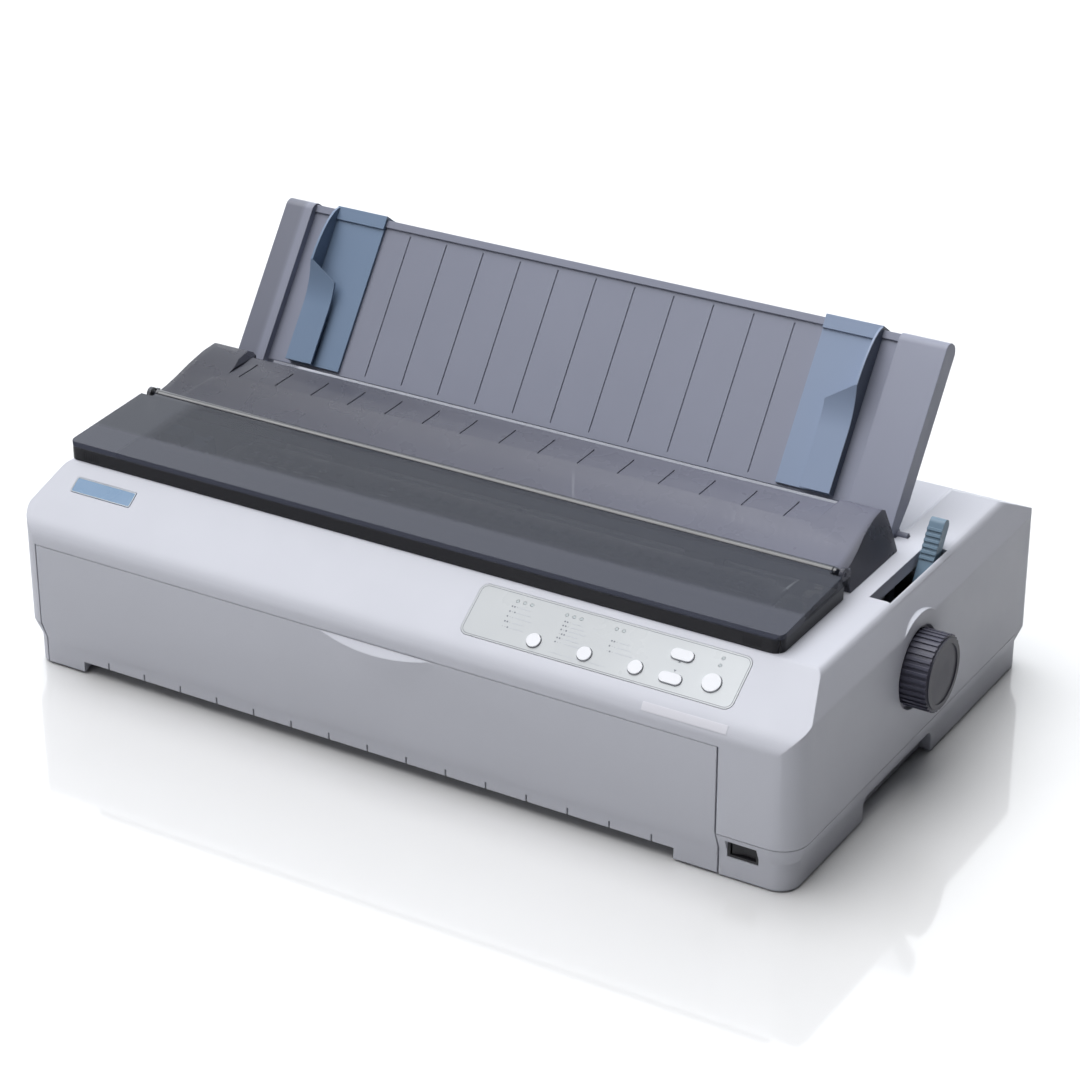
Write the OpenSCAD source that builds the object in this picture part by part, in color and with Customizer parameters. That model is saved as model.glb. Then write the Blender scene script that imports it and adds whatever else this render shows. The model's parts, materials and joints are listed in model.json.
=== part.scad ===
// Wide-carriage dot matrix printer, in millimetres.
// X to the right seen from the front, Y to the rear, Z up.
// Zero: middle of the case width, front face of the flap, table top.

/* [Case] */
// Width of the case without the knob
case_w = 620; // [600:1:660]
// Depth of the case, front face to rear wall
case_d = 375; // [365:1:400]
// Height of the flat top above the table
case_top = 143.4; // [138:0.1:150]
// Radius of the upright corners
corner_r = 20; // [12:1:26]
// Wall thickness of the mouldings
wall = 3; // [2:0.1:3.5]
// Height of the joint between lower and upper case
seam_z = 34; // [30:1:38]
// Gap at the joint between lower and upper case
seam_gap = 0.4; // [0.2:0.1:1]
// How far the skirt draws in below the joint
skirt_in = 5.3; // [3:0.1:8]
// Height where the skirt turns upright again
skirt_z = 21; // [16:1:26]
// Thickness of the rubber feet under the case
feet_h = 1.5; // [1:0.1:4]
// Height of the crease round the sides
crease_z = 120.5; // [116:0.5:126]
// Width of the sloping band above the side crease
side_slope_w = 11; // [6:0.5:18]
// Depth of the sloping band above the rear crease
rear_slope_d = 47; // [30:1:60]
// Angle of the front slope that carries the control panel
panel_angle = 34.6; // [28:0.1:40]
// Radius of the rounding between the front face and the slope
front_round_r = 21; // [12:1:28]
// Radius of the softened creases of the top
crease_r = 7; // [3:0.5:9]

/* [Hand grips] */
// Front to the hand grip
grip_y = 111; // [90:1:130]
// Length of the hand grip
grip_l = 106; // [80:1:130]
// Height of the hand grip opening
grip_h = 18; // [14:1:22]

/* [Front flap] */
// Inset of the flap on the left
flap_in_l = 17.3; // [14:0.1:30]
// Inset of the flap on the right
flap_in_r = 57.4; // [54:0.1:80]
// Height of the flap's top edge
flap_top = 97.6; // [90:0.1:100]
// Thickness of the flap
flap_t = 2.6; // [2:0.1:3.5]
// Gap round the flap
flap_gap = 1.2; // [0.8:0.1:2]
// Width of the two feet of the flap
flap_foot_w = 32; // [24:1:40]
// Height of the flap's edge between its feet
flap_lip_z = 10; // [6:0.5:14]
// Spacing of the slots in the flap's lower edge
flap_slot_pitch = 31.6; // [25:0.1:40]
// Front to the flap hinge
flap_hinge_y = 12; // [10:0.5:14]
// Height of the flap hinge
flap_hinge_z = 12; // [11:0.5:14]
// Width of the finger pull
pull_w = 88; // [70:1:100]
// How far the finger pull stands out of the flap
pull_proud = 5; // [3:0.5:7]

/* [Control panel] */
// Width of the control panel
panel_w = 201.8; // [196:0.1:214]
// Inset of the control panel on the right
panel_in = 55.2; // [50:0.1:70]
// Distance of the panel's lower edge up the slope
panel_s0 = 15.6; // [13:0.1:18]
// Distance of the panel's upper edge up the slope
panel_s1 = 54.9; // [50:0.1:56]
// Thickness of the control panel plate
panel_t = 1.2; // [0.8:0.1:2]
// Diameter of the small round buttons
round_d = 10; // [8:0.5:12]
// Diameter of the large round button
pause_d = 13; // [11:0.5:15]
// Length of the long buttons
pill_l = 16; // [12:0.5:18]
// Width of the long buttons
pill_w = 7.6; // [6:0.2:9]
// Travel of the buttons
press = 1; // [0.6:0.1:1.5]

/* [Power switch] */
// Inset of the power switch
switch_in = 50.5; // [48:0.1:53]
// Width of the power switch
switch_w = 22.5; // [20:0.1:25]
// Bottom of the power switch
switch_z = 16.5; // [14:0.1:18]
// Height of the power switch
switch_h = 13.5; // [12:0.1:15]

/* [Window cover] */
// Inset of the smoky covers on the left
cover_in_l = 10.3; // [9:0.1:14]
// Inset of the smoky covers on the right
cover_in_r = 40.2; // [38:0.1:50]
// Front to the window's front edge
window_y = 51; // [50.5:0.1:54]
// Height of the window's front edge above the case top
window_h = 13; // [10:0.1:15]
// Thickness of the smoky covers
cover_t = 2; // [1.5:0.1:3]
// Front to the hinge bar
bar_y = 144.3; // [140:0.1:148]
// Height of the hinge bar above the case top
bar_up = 16; // [14:0.1:18]
// Diameter of the hinge bar
bar_d = 7.5; // [6:0.1:9]
// Gap between the covers and the case top
cover_gap = 0.3; // [0.2:0.1:0.6]

/* [Top cover] */
// Front to the top cover's front edge
top_y0 = 150.5; // [149:0.1:153]
// Front to the top cover's rear edge
top_y1 = 222; // [216:0.5:226]
// Height of the ridge above the case top
ridge_h = 31.4; // [28:0.1:34]
// How far the middle of the ridge lies below its raised ends
ridge_step = 4.2; // [2:0.1:5]
// Length of the ridge's raised ends
ridge_end_l = 40; // [30:1:60]
// Inward lean of the end caps over the ridge height
cap_lean = 9.6; // [6:0.1:14]
// Spacing of the short ribs on the top cover
rib_pitch = 32; // [25:1:40]

/* [Paper guide] */
// Inset of the paper guide on the left
guide_in_l = 22; // [18:1:30]
// Inset of the paper guide on the right
guide_in_r = 51; // [50:1:60]
// Lean of the paper guide from level
guide_angle = 54; // [50:0.5:60]
// Length of the paper guide's front face
guide_l = 134; // [120:0.5:137]
// Thickness of the guide's wings
guide_t = 17; // [14:0.5:19]
// Width of the guide's right wing
wing_r_w = 36; // [28:1:44]
// Width of the guide's left wing
wing_l_w = 24; // [20:1:44]
// Setback of the guide's plate behind the wings
plate_back = 6; // [4:0.5:8]
// Thickness of the guide's plate
plate_t = 3; // [2:0.2:4]
// Spacing of the grooves in the guide's plate
groove_pitch = 32; // [25:1:40]
// Front to the guide's hinge
guide_y = 245; // [244:0.5:246]
// Height of the guide's hinge above the case top
guide_up = 0.2; // [-0.4:0.1:0.8]
// Distance of the guide's front face from its hinge
guide_face = 13.3; // [12.5:0.1:14]
// Width of the edge guides
edge_w = 44; // [36:1:48]
// Middle of the left edge guide, from the guide's end
edge_in_l = 66; // [53:1:138]
// Middle of the right edge guide, from the guide's end
edge_in_r = 72; // [64:1:159]

/* [Platen] */
// Front to the platen axis
platen_y = 175; // [173:0.5:177]
// Height of the platen axis
platen_z = 88.5; // [87:0.5:90]
// Radius of the platen
platen_r = 17; // [15:0.5:18]
// Diameter of the platen shaft
shaft_d = 10; // [8:0.5:11]
// Diameter of the knob
knob_d = 54; // [46:1:56]
// How far the knob stands out of the case
knob_proud = 19; // [14:0.5:24]
// Radius of the boss round the knob
boss_r = 40; // [36:0.5:42]
// Running clearance of shafts in their bores
run = 0.05; // [0.02:0.01:0.1]

/* [Mechanism] */
// Inset of the left side frame's inner face
frame_in_l = 67; // [64:1:70]
// Inset of the right side frame's inner face
frame_in_r = 107; // [104:1:109]
// Thickness of the side frames
frame_t = 2; // [1.5:0.1:3]
// Diameter of the carriage rod
rod_d = 12; // [10:0.5:14]
// Front to the carriage rod
rod_y = 132; // [130:1:134]
// Height of the carriage rod
rod_z = 64; // [62:1:66]
// Middle of the carriage at rest, from the frame
carriage_in = 53; // [51:1:63]
// Gear module
gear_m = 1; // [0.9:0.05:1]
// Teeth of the platen gear
platen_teeth = 48; // [44:2:48]
// Teeth of the large reduction wheel
wheel_teeth = 40; // [36:2:40]
// Teeth of the small reduction pinion
step_teeth = 16; // [14:2:16]
// Teeth of the motor pinion
pinion_teeth = 12; // [12:2:14]
// Teeth of the idler towards the tractors
idler_teeth = 24; // [20:2:24]
// Teeth of the tractor gear
tractor_teeth = 34; // [30:2:34]
// Face width of the gears
gear_w = 6; // [4:0.5:7]
// Middle of the left tractor, from the frame
tractor_in_l = 63; // [53:1:103]
// Middle of the right tractor, from the frame
tractor_in_r = 83; // [53:1:113]

/* [Release lever] */
// Front to the lever pivot
lever_y = 195.3; // [193:0.1:197]
// Height of the lever pivot
lever_z = 85; // [83:0.5:87]
// Backward lean of the lever at rest
lever_lean = 32; // [28:0.5:34]
// Length of the lever above its pivot
lever_l = 93; // [86:0.5:96]
// Width of the lever
lever_w = 11; // [9:0.5:12]
// Inset of the lever's middle
lever_in = 20; // [19:0.1:21]

/* [Hidden] */

$fn = 48;
eps = 0.01;
cut = 1;

// Colours
case_col = "#d9d9de";
smoke_col = "#5d6270";
guide_col = "#80828f";
blue_col = "#4f6f86";
dark_col = "#26272e";
steel_col = "#b4b7ba";
rubber_col = "#202124";
cream_col = "#e8e6df";
brass_col = "#c3a95b";
board_col = "#3d6b4a";
grey_col = "#8d9096";

// Case outline
half_w = case_w / 2;
flap_x0 = flap_in_l - half_w;
flap_x1 = half_w - flap_in_r;
panel_x1 = half_w - panel_in;
panel_x0 = panel_x1 - panel_w;
switch_x = half_w - switch_in;
cover_x0 = cover_in_l - half_w;
cover_x1 = half_w - cover_in_r;
guide_x0 = guide_in_l - half_w;
guide_x1 = half_w - guide_in_r;
frame_l = frame_in_l - half_w;
frame_r = half_w - frame_in_r;
lever_x = half_w - lever_in;
guide_z = case_top + guide_up;
bar_z = case_top + bar_up;
bay_top = flap_top + 0.4;
slope_z = bay_top + front_round_r * tan((90 - panel_angle) / 2);
side_lean = side_slope_w / (case_top - crease_z);
rear_angle = atan((case_top - crease_z) / rear_slope_d);
floor_z = feet_h + wall;
foot_d = 20;
foot_sink = 0.8;
foot_places = [for (x = [-half_w + 60, half_w - 60], y = [44, case_d - 40]) [x, y]];
screw_places = [for (x = [-half_w + 32, half_w - 32], y = [48, case_d - 36]) [x, y]];
screw_d = 3.3;
screw_head_d = 7.6;
screw_head_h = 3;
screw_up = 6;
boss_d = 12;
grip_d = 14;
grip_r = 7;
flap_bay_y = flap_hinge_y + 14;
flap_pin_d = 5;
upper_z = seam_z + seam_gap;
bay_wall_y = flap_t + 3;

// Openings in the rear wall
inlet_x0 = half_w - 100;
inlet_x1 = inlet_x0 + 28;
inlet_z0 = 14;
inlet_h = 34;
plate_x0 = 60 - half_w;
plate_x1 = plate_x0 + 180;
plate_z1 = 92;
rear_cut = 20;
vent_x0 = inlet_x0 - 150;
vent_pitch = 7;
vent_w = 3;
vent_z0 = 50;
vent_z1 = 100;

// Cover opening in the upper case
open_x0 = cover_x0 + 7;
open_x1 = cover_x1 - 7;
open_y0 = window_y + 7;
deck_z = case_top - 17.4;
deck_x1 = guide_x1 - 13;
root_y0 = guide_y - 6;
root_y1 = guide_y + 11;
deck_x0 = guide_x0 + 12;
deck_side = 17;
guide_pin_d = 5;
guide_rise = 1.2;
wing_wall = 2.5;
rail_w = 7;
rail_in = 1.5;
rail_up = 1.5;
groove_x = 22;
pin_block_w = 10;
slot_y0 = 152.5;
slot_y1 = 241;
slot_side = 2;
root_side = 1.3;
front_slot_z = 60;
front_slot_h = 24;

// Covers
cover_z = case_top + cover_gap;
window_z = case_top + window_h;
ridge_z = case_top + ridge_h;
ridge_y = top_y1 - 7;
knee_y = top_y0 + 34.5;
knee_z = case_top + 25.6;
brow_y = ridge_y - 13.5;
brow_z = ridge_z - 1.2;
rib_x = 54;

// Middles of the buttons: along X, up the slope
font_at = [panel_x1 - 148.2, 24.5];
pitch_at = [panel_x1 - 110.5, 25.3];
bin_at = [panel_x1 - 73.2, 26];
load_at = [panel_x1 - 46.6, 43.1];
feed_at = [panel_x1 - 47.4, 25.4];
pause_at = [panel_x1 - 19.8, 30.3];
button_gap = 0.4;
button_up = 1.6;
seat = 0.3;
collar_w = 1.5;
collar_t = 1.6;
plunger_d = 4;
board_drop = 9;
key_h = 2.2;
key_w = 6;
key_gap = 0.3;
board_t = 1.6;
post_d = 4;
lamp_d = 2.2;
panel_up = 0.3;
badge_x0 = 27 - half_w;
badge_x1 = badge_x0 + 52;
badge_s0 = 36.6;
badge_s1 = 48.9;
badge_sink = 0.8;
badge_up = 0.3;

// Gear train: axes worked out from the tooth counts
function pitch_r(teeth) = teeth * gear_m / 2;
mesh_gap = 0.15;
plane_b = frame_r + frame_t + 3;
plane_a = plane_b + gear_w + 2;
reduction_z = platen_z - pitch_r(platen_teeth) - pitch_r(step_teeth) - mesh_gap;
motor_angle = 30;
motor_reach = pitch_r(wheel_teeth) + pitch_r(pinion_teeth) + mesh_gap;
motor_y = platen_y + motor_reach * cos(motor_angle);
motor_z = reduction_z - motor_reach * sin(motor_angle);
pinion_turn = 180 - motor_angle + 180 / pinion_teeth;
step_turn = 90 + 180 / step_teeth;
idler_y = platen_y + pitch_r(platen_teeth) + pitch_r(idler_teeth) + mesh_gap;
tractor_y = idler_y + pitch_r(idler_teeth) + pitch_r(tractor_teeth) + mesh_gap;
tractor_z = platen_z;

// Mechanism levels
bush_d = 16;
flange_t = 1.4;
roller_x0 = frame_l + 4;
roller_x1 = frame_r - 4;
rod_span = 3;
frame_y0 = 66;
frame_y1 = 272;
frame_foot_w = 14;
tab_y0 = 92;
tab_y1 = 118;
tab_w = 14;
rail_y = 94;
rail_d = 14;
rail_top = 72;
beam_y = 226;
beam_top = 44;
low_z = 20;
pulley_r = 6;
pulley_y = 108;
pulley_z = 46;
pulley_h = 6;
pulley_rim = 1.2;
pulley_spare = 1.6;
drive_x = frame_l + 21;
idle_x = frame_r - 21;
belt_t = 1.2;
shelf_z = 42;
tension_z = platen_z + platen_r + 6;
cartridge_z = 105;
carriage_w = 60;
carriage_x = frame_l + carriage_in;
bed_z = rod_z + 14;
head_nose_y = platen_y - platen_r - 1.1;
ribbon_x0 = frame_l + 18;
ribbon_x1 = frame_r - 18;
ribbon_y = head_nose_y + 0.2;
ribbon_z = 84;
ribbon_h = 13;
dial_x = ribbon_x0 + 30;
dial_y = 115;
dial_d = 6;
stud_d = 5;
idle_pin_d = 4;
drive_pin_d = 3;
collar_d = 7.6;
motor_d = 40;
motor_pin_d = 4;
motor_boss_d = 12;
tractor_w = 24;
tractor_rod_y = tractor_y - 18;
tractor_rod_z = tractor_z - 14;
tractor_rod_d = 8;
square_w = 8;
journal_d = 12;
gear_end_d = 6;
lever_pin_d = 6;
gap_y = platen_y - 25;
gap_z = 92;
gap_pin_d = 6;
bracket_w = 22;
bracket_x = (plane_a + gear_w + lever_x - lever_w / 2 + bracket_w) / 2 + 3.75;
knob_x0 = half_w - 3.5;
knob_bore = 14;

// ---- helpers ----

module up(z) {
    translate([0, 0, z]) children();
}

// A y-z outline drawn out along X
module along_x(x0, x1) {
    translate([x0, 0, 0]) rotate([90, 0, 90]) linear_extrude(x1 - x0) children();
}

// An x-z outline drawn out along Y
module along_y(y0, y1) {
    translate([0, y1, 0]) rotate([90, 0, 0]) linear_extrude(y1 - y0) children();
}

// A round bar along X at a y-z place
module rod_x(x0, x1, y, z, d) {
    translate([x0, y, z]) rotate([0, 90, 0]) cylinder(h = x1 - x0, d = d);
}

// A box from its two corners
module block(x0, y0, z0, x1, y1, z1) {
    translate([x0, y0, z0]) cube([x1 - x0, y1 - y0, z1 - z0]);
}

// A plan outline with round corners
module round_rect(x0, y0, x1, y1, r) {
    translate([x0 + r, y0]) square([x1 - x0 - 2 * r, y1 - y0]);
    translate([x0, y0 + r]) square([x1 - x0, y1 - y0 - 2 * r]);
    for (x = [x0 + r, x1 - r], y = [y0 + r, y1 - r]) translate([x, y]) circle(r);
}

// The slope's frame: Y runs up the slope, Z stands out of it
module on_slope() {
    up(slope_z) rotate([panel_angle, 0, 0]) children();
}

// The guide's frame: Y runs up its front face, Z stands out of it, zero at the hinge
module on_guide() {
    translate([0, guide_y, guide_z]) rotate([guide_angle, 0, 0])
        translate([0, guide_rise, guide_face]) children();
}

// Points of an arc
function arc(c, r, a0, a1, n) = [
    for (i = [0:n]) c + r * [cos(a0 + (a1 - a0) * i / n), sin(a0 + (a1 - a0) * i / n)]
];

// A corner at b between a and c, rounded to radius r
function soft(a, b, c, r) = let (
    u = (a - b) / norm(a - b),
    v = (c - b) / norm(c - b),
    half = acos(u * v) / 2,
    mid = b + (u + v) / norm(u + v) * r / sin(half),
    p = b + u * r / tan(half) - mid,
    start = atan2(p[1], p[0]),
    turn = (u[0] * v[1] - u[1] * v[0] < 0 ? 1 : -1) * (180 - 2 * half)
) arc(mid, r, start, start + turn, 5);

// An outline with its corners rounded; radius 0 leaves one sharp
function soften(points, radii) = let (n = len(points)) [
    for (k = [0:n - 1], q = radii[k] > 0
        ? soft(points[(k + n - 1) % n], points[k], points[(k + 1) % n], radii[k])
        : [points[k]]) q
];

// Side outline of the upper case, drawn in by i
function slope_at(y, i) = slope_z + y * tan(panel_angle) - i / cos(panel_angle);
function rear_at(y, i) = crease_z + (case_d - y) * tan(rear_angle) - i / cos(rear_angle);
function side_points(i, z0) = let (
    top = case_top - i,
    front = [
        [i, slope_at(i, i)],
        [(top - slope_z + i / cos(panel_angle)) / tan(panel_angle), top],
        [case_d - (top - crease_z + i / cos(rear_angle)) / tan(rear_angle), top],
        [case_d - i, rear_at(case_d - i, i)],
        [case_d - i, z0],
        [i, z0]
    ]
) i == 0 ? soften(front, [front_round_r, crease_r, crease_r, crease_r, 0, 0]) : front;

// Front outline of the upper case, drawn in by i
lean_len = sqrt(1 + side_lean * side_lean);
function side_at(z, i) = half_w - (z - crease_z) * side_lean - i * lean_len;
function half_points(i, z0) = [
    [half_w - i, z0],
    [half_w - i, crease_z - i * (lean_len - 1) / side_lean],
    [side_at(case_top - i, i), case_top - i]
];
function front_points(i, z0) = let (
    half = half_points(i, z0),
    all = concat(half, [for (k = [2:-1:0]) [-half[k][0], half[k][1]]])
) i == 0 ? soften(all, [0, crease_r, crease_r, crease_r, crease_r, 0]) : all;

module upper_solid(i, z0) {
    intersection() {
        plan_slab(z0, case_top + cut, i);
        along_x(-half_w, half_w) polygon(side_points(i, z0));
        along_y(0, case_d) polygon(front_points(i, z0));
    }
}

// A slab of the case plan between two heights, drawn in by i
module plan_slab(z0, z1, i) {
    up(z0) linear_extrude(z1 - z0)
        round_rect(-half_w + i, i, half_w - i, case_d - i, corner_r - i);
}

// A spur gear along X with its teeth set by a turn
module gear_x(x0, w, y, z, teeth, bore, turn) {
    r = pitch_r(teeth);
    step = 360 / teeth;
    translate([x0, y, z]) rotate([90, 0, 90]) difference() {
        linear_extrude(w) rotate(turn) union() {
            circle(r - 1.15 * gear_m);
            for (i = [0:teeth - 1]) rotate(i * step) polygon([
                [r - 1.3 * gear_m, -0.95 * gear_m],
                [r, -0.72 * gear_m],
                [r + 0.9 * gear_m, -0.34 * gear_m],
                [r + 0.9 * gear_m, 0.34 * gear_m],
                [r, 0.72 * gear_m],
                [r - 1.3 * gear_m, 0.95 * gear_m]
            ]);
        }
        up(-cut) cylinder(h = w + 2 * cut, d = bore);
    }
}

// ---- case ----

module lower_case() {
    cheek_w = wall * 3;
    color(case_col) difference() {
        union() {
            difference() {
                union() {
                    hull() {
                        plan_slab(skirt_z, skirt_z + eps, skirt_in);
                        plan_slab(seam_z - eps, seam_z, 0);
                    }
                    plan_slab(feet_h, skirt_z, skirt_in);
                }
                plan_slab(floor_z, case_top, skirt_in + wall);
                block(flap_x0 - flap_gap, -cut, 0, flap_x1 + flap_gap, flap_bay_y, case_top);
            }
            // Wall behind the flap
            block(flap_x0 - flap_gap, flap_bay_y, feet_h, flap_x1 + flap_gap, flap_bay_y + wall, seam_z);
            // Cheeks that hold the flap's pins
            for (x = [flap_x0 - flap_gap - cheek_w, flap_x1 + flap_gap]) intersection() {
                block(x, 0, feet_h, x + cheek_w, flap_bay_y + wall, seam_z);
                plan_slab(feet_h, seam_z, skirt_in);
            }
            // Screw bosses
            for (p = screw_places) translate(p) up(feet_h) cylinder(h = seam_z - feet_h, d = boss_d);
            // Pockets of the hand grips
            for (x = [-half_w, half_w - grip_d - wall]) intersection() {
                along_x(x, x + grip_d + wall) grip_shape(wall);
                plan_slab(feet_h, seam_z, skirt_in);
            }
        }
        // Pin bores of the flap
        rod_x(flap_x0 - flap_gap - 5, flap_x1 + flap_gap + 5, flap_hinge_y, flap_hinge_z,
            flap_pin_d + 2 * run);
        // Screw holes with their counterbores
        for (p = screw_places) translate(p) {
            cylinder(h = seam_z + cut, d = screw_d + 1.1);
            cylinder(h = feet_h + 8, d = screw_head_d + 1.4);
        }
        // Hand grips
        for (x = [-half_w - cut, half_w - grip_d]) along_x(x, x + grip_d + cut) grip_shape(0);
        // Power switch opening
        block(switch_x, -cut, switch_z, switch_x + switch_w, flap_bay_y, switch_z + switch_h);
        // Recess of the mains inlet and the rear plate
        block(inlet_x0, case_d - rear_cut, inlet_z0, inlet_x1, case_d + cut, seam_z + cut);
        // Sockets of the feet
        for (p = foot_places) translate(p) up(feet_h - cut)
            cylinder(h = cut + foot_sink, d = foot_d + 0.6);
    }
}

// Outline of a hand grip, seen along X, grown by g
module grip_shape(g) {
    translate([grip_y - g, 0]) square([grip_l + 2 * g, grip_h - grip_r]);
    translate([grip_y + grip_r, 0]) square([grip_l - 2 * grip_r, grip_h + g]);
    for (y = [grip_y + grip_r, grip_y + grip_l - grip_r])
        translate([y, grip_h - grip_r]) circle(grip_r + g);
}

module upper_case() {
    boss_in = 11;
    color(case_col) difference() {
        union() {
            difference() {
                upper_solid(0, upper_z);
                upper_solid(wall, seam_z - cut);
            }
            // Boss round the knob
            difference() {
                rod_x(half_w - boss_in, half_w, platen_y, platen_z, 2 * boss_r);
                block(half_w - boss_in - cut, 0, 0, half_w + cut, case_d, upper_z);
            }
            // Front wall behind the flap, with its returns
            intersection() {
                union() {
                    block(flap_x0 - wall, bay_wall_y, upper_z, flap_x1 + wall, bay_wall_y + wall, case_top);
                    for (x = [flap_x0 - flap_gap - wall, flap_x1 + flap_gap])
                        block(x, 0, upper_z, x + wall, bay_wall_y + wall, case_top);
                    block(flap_x0 - wall, 0, bay_top, flap_x1 + wall, bay_wall_y + wall, bay_top + wall);
                }
                upper_solid(0, upper_z);
            }
            // Deck recess behind the paper guide
            intersection() {
                deck_skin();
                upper_solid(0, upper_z);
            }
            // Blocks that carry the guide's pins
            for (x = [guide_x1 + root_side, guide_x0 - root_side - pin_block_w])
                block(x, guide_y - 13, case_top - 9, x + pin_block_w, guide_y + 5, case_top);
            // Ribs of the lever slot
            for (x = [lever_x - lever_w / 2 - slot_side - wall, lever_x + lever_w / 2 + slot_side])
                block(x, slot_y0 - 2, case_top - 10, x + wall, slot_y1 + 2, case_top - wall + eps);
            // Screw pillars
            for (p = screw_places) intersection() {
                translate(p) up(upper_z) cylinder(h = case_top, d = boss_d);
                upper_solid(0, upper_z);
            }
        }
        // Opening under the covers
        block(open_x0, open_y0, deck_z - 14, open_x1, root_y0 - 13, case_top + cut);
        deck_hollow();
        // Bay of the flap
        block(flap_x0 - flap_gap, -cut, seam_z - cut, flap_x1 + flap_gap, flap_t + 0.8, bay_top);
        // Paper slot of the front feed
        block(frame_l + 3, flap_t, front_slot_z, frame_r - 3, flap_hinge_y, front_slot_z + front_slot_h);
        // Slot of the release lever
        block(lever_x - lever_w / 2 - slot_side, slot_y0, case_top - 12,
            lever_x + lever_w / 2 + slot_side, slot_y1, case_top + cut);
        // Recess of the knob and the shaft hole
        rod_x(half_w - 4, half_w + cut, platen_y, platen_z, knob_d + 5);
        rod_x(half_w - 20, half_w, platen_y, platen_z, shaft_d + 4);
        // Seat of the control panel and holes for the buttons
        on_slope() {
            up(-panel_t) linear_extrude(panel_t + cut) panel_shape(0.2);
            up(-wall - cut) linear_extrude(wall + 2 * cut) button_shapes(button_gap + 0.4);
            up(-wall - cut) linear_extrude(wall + 2 * cut) lamp_window(0.3);
            up(-badge_sink) linear_extrude(badge_sink + cut) badge_shape(0.2);
        }
        // Pins of the paper guide
        for (x = [guide_x1 - 1, guide_x0 - 9]) rod_x(x, x + 10, guide_y, guide_z, guide_pin_d + 2 * run);
        // Screw holes in the pillars
        for (p = screw_places) translate(p) up(seam_z) cylinder(h = 14, d = screw_d + 0.1);
        // Rear openings
        block(plate_x0 - 0.4, case_d - rear_cut, seam_z, plate_x1 + 0.4, case_d + cut, plate_z1 + 0.4);
        block(inlet_x0, case_d - rear_cut, seam_z - cut, inlet_x1, case_d + cut, inlet_z0 + inlet_h);
        for (i = [0:17]) block(vent_x0 + i * vent_pitch, case_d - rear_cut, vent_z0,
            vent_x0 + vent_w + i * vent_pitch, case_d + cut, vent_z1);
    }
}

// Deck recess with sloping sides, and the root pocket of the guide
module deck_hollow() {
    along_y(root_y1, case_d + cut) polygon([
        [deck_x0, deck_z], [deck_x1, deck_z],
        [deck_x1 + deck_side, case_top + cut], [deck_x0 - deck_side, case_top + cut]
    ]);
    block(guide_x0 - root_side, root_y0, guide_z - 6, guide_x1 + root_side, root_y1 + eps, case_top + cut);
    block(frame_l - 7, root_y0 - 14, deck_z - 14, frame_r + 12, root_y1 - 4, case_top + cut);
}

// The deck's skin
module deck_skin() {
    along_y(root_y0 - 8, case_d) polygon([
        [deck_x0 - wall, deck_z - wall], [deck_x1 + wall, deck_z - wall],
        [deck_x1 + deck_side + wall, case_top], [deck_x0 - deck_side - wall, case_top]
    ]);
}

module rubber_feet() {
    color(rubber_col) for (p = foot_places)
        translate(p) cylinder(h = feet_h + foot_sink, d = foot_d);
}

module case_screws() {
    color(steel_col) for (p = screw_places) translate(p) up(feet_h + 8) {
        up(-screw_head_h) {
            cylinder(h = screw_head_h, d = screw_head_d);
            cylinder(h = seam_z - feet_h + screw_up - 1, d = screw_d);
        }
    }
}

// ---- front flap ----

// Side outline of the flap, drawn in by i on its front
function flap_points(i) = [
    [i, flap_top], [i, seam_z + 2], [i + skirt_in, skirt_z], [i + skirt_in, feet_h + 0.5]
];

module flap_shell() {
    along_x(flap_x0, flap_x1) polygon(concat(
        flap_points(0),
        [for (k = [3:-1:0]) flap_points(flap_t)[k]]
    ));
}

// Rounded lip at the flap's top edge for the fingers
module finger_pull() {
    rise = 15;
    drop = pull_proud + rise - 0.2;
    lens_r = 190;
    base = sqrt(lens_r * lens_r - drop * drop) - pull_proud;
    pull_x = -5;
    intersection() {
        translate([pull_x, base, flap_top + rise]) sphere(lens_r, $fn = 180);
        along_x(pull_x - pull_w / 2 - 8, pull_x + pull_w / 2 + 8) polygon([
            [flap_t / 2, flap_top],
            [0, flap_top - 0.2],
            [-pull_proud - 2, flap_top - 2.2 - pull_proud],
            [-pull_proud - 2, flap_top - 40],
            [flap_t / 2, flap_top - 40]
        ]);
    }
}

module front_flap() {
    pin_l = flap_gap + 4;
    web_y = flap_t - 0.5;
    color(case_col) difference() {
        union() {
            difference() {
                flap_shell();
                // The edge between the feet is raised
                block(flap_x0 + flap_foot_w, -cut, 0, flap_x1 - flap_foot_w, 30, flap_lip_z);
            }
            finger_pull();
            // Side webs from the feet to the hinge pins
            for (x = [flap_x0, flap_x1 - flap_t, flap_x0 + flap_foot_w - flap_t, flap_x1 - flap_foot_w])
                along_x(x, x + flap_t) polygon([
                    [web_y, seam_z - 2],
                    [web_y + 3.6, skirt_z],
                    [web_y + skirt_in, feet_h + 0.5],
                    [flap_hinge_y + 3, feet_h + 4],
                    [flap_hinge_y + 4.5, flap_hinge_z + 3],
                    [flap_hinge_y, flap_hinge_z + 5]
                ]);
            // Hinge pins
            rod_x(flap_x0 - pin_l, flap_x0 + eps, flap_hinge_y, flap_hinge_z, flap_pin_d);
            rod_x(flap_x1 - eps, flap_x1 + pin_l, flap_hinge_y, flap_hinge_z, flap_pin_d);
            // Stiffening lip along the top
            block(flap_x0 + 4, flap_t - eps, flap_top - 6, flap_x1 - 4, flap_t + 0.6, flap_top - 3);
        }
        // Slots in the lower edge
        for (x = [flap_x0 + flap_foot_w + 22:flap_slot_pitch:flap_x1 - flap_foot_w - 15])
            block(x, 0, flap_lip_z - cut, x + 1.2, 12, flap_lip_z + 5);
    }
}

// ---- control panel ----

module panel_shape(grow) {
    round_rect(panel_x0 - grow, panel_s0 - grow, panel_x1 + grow, panel_s1 + grow, 6);
}

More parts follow.
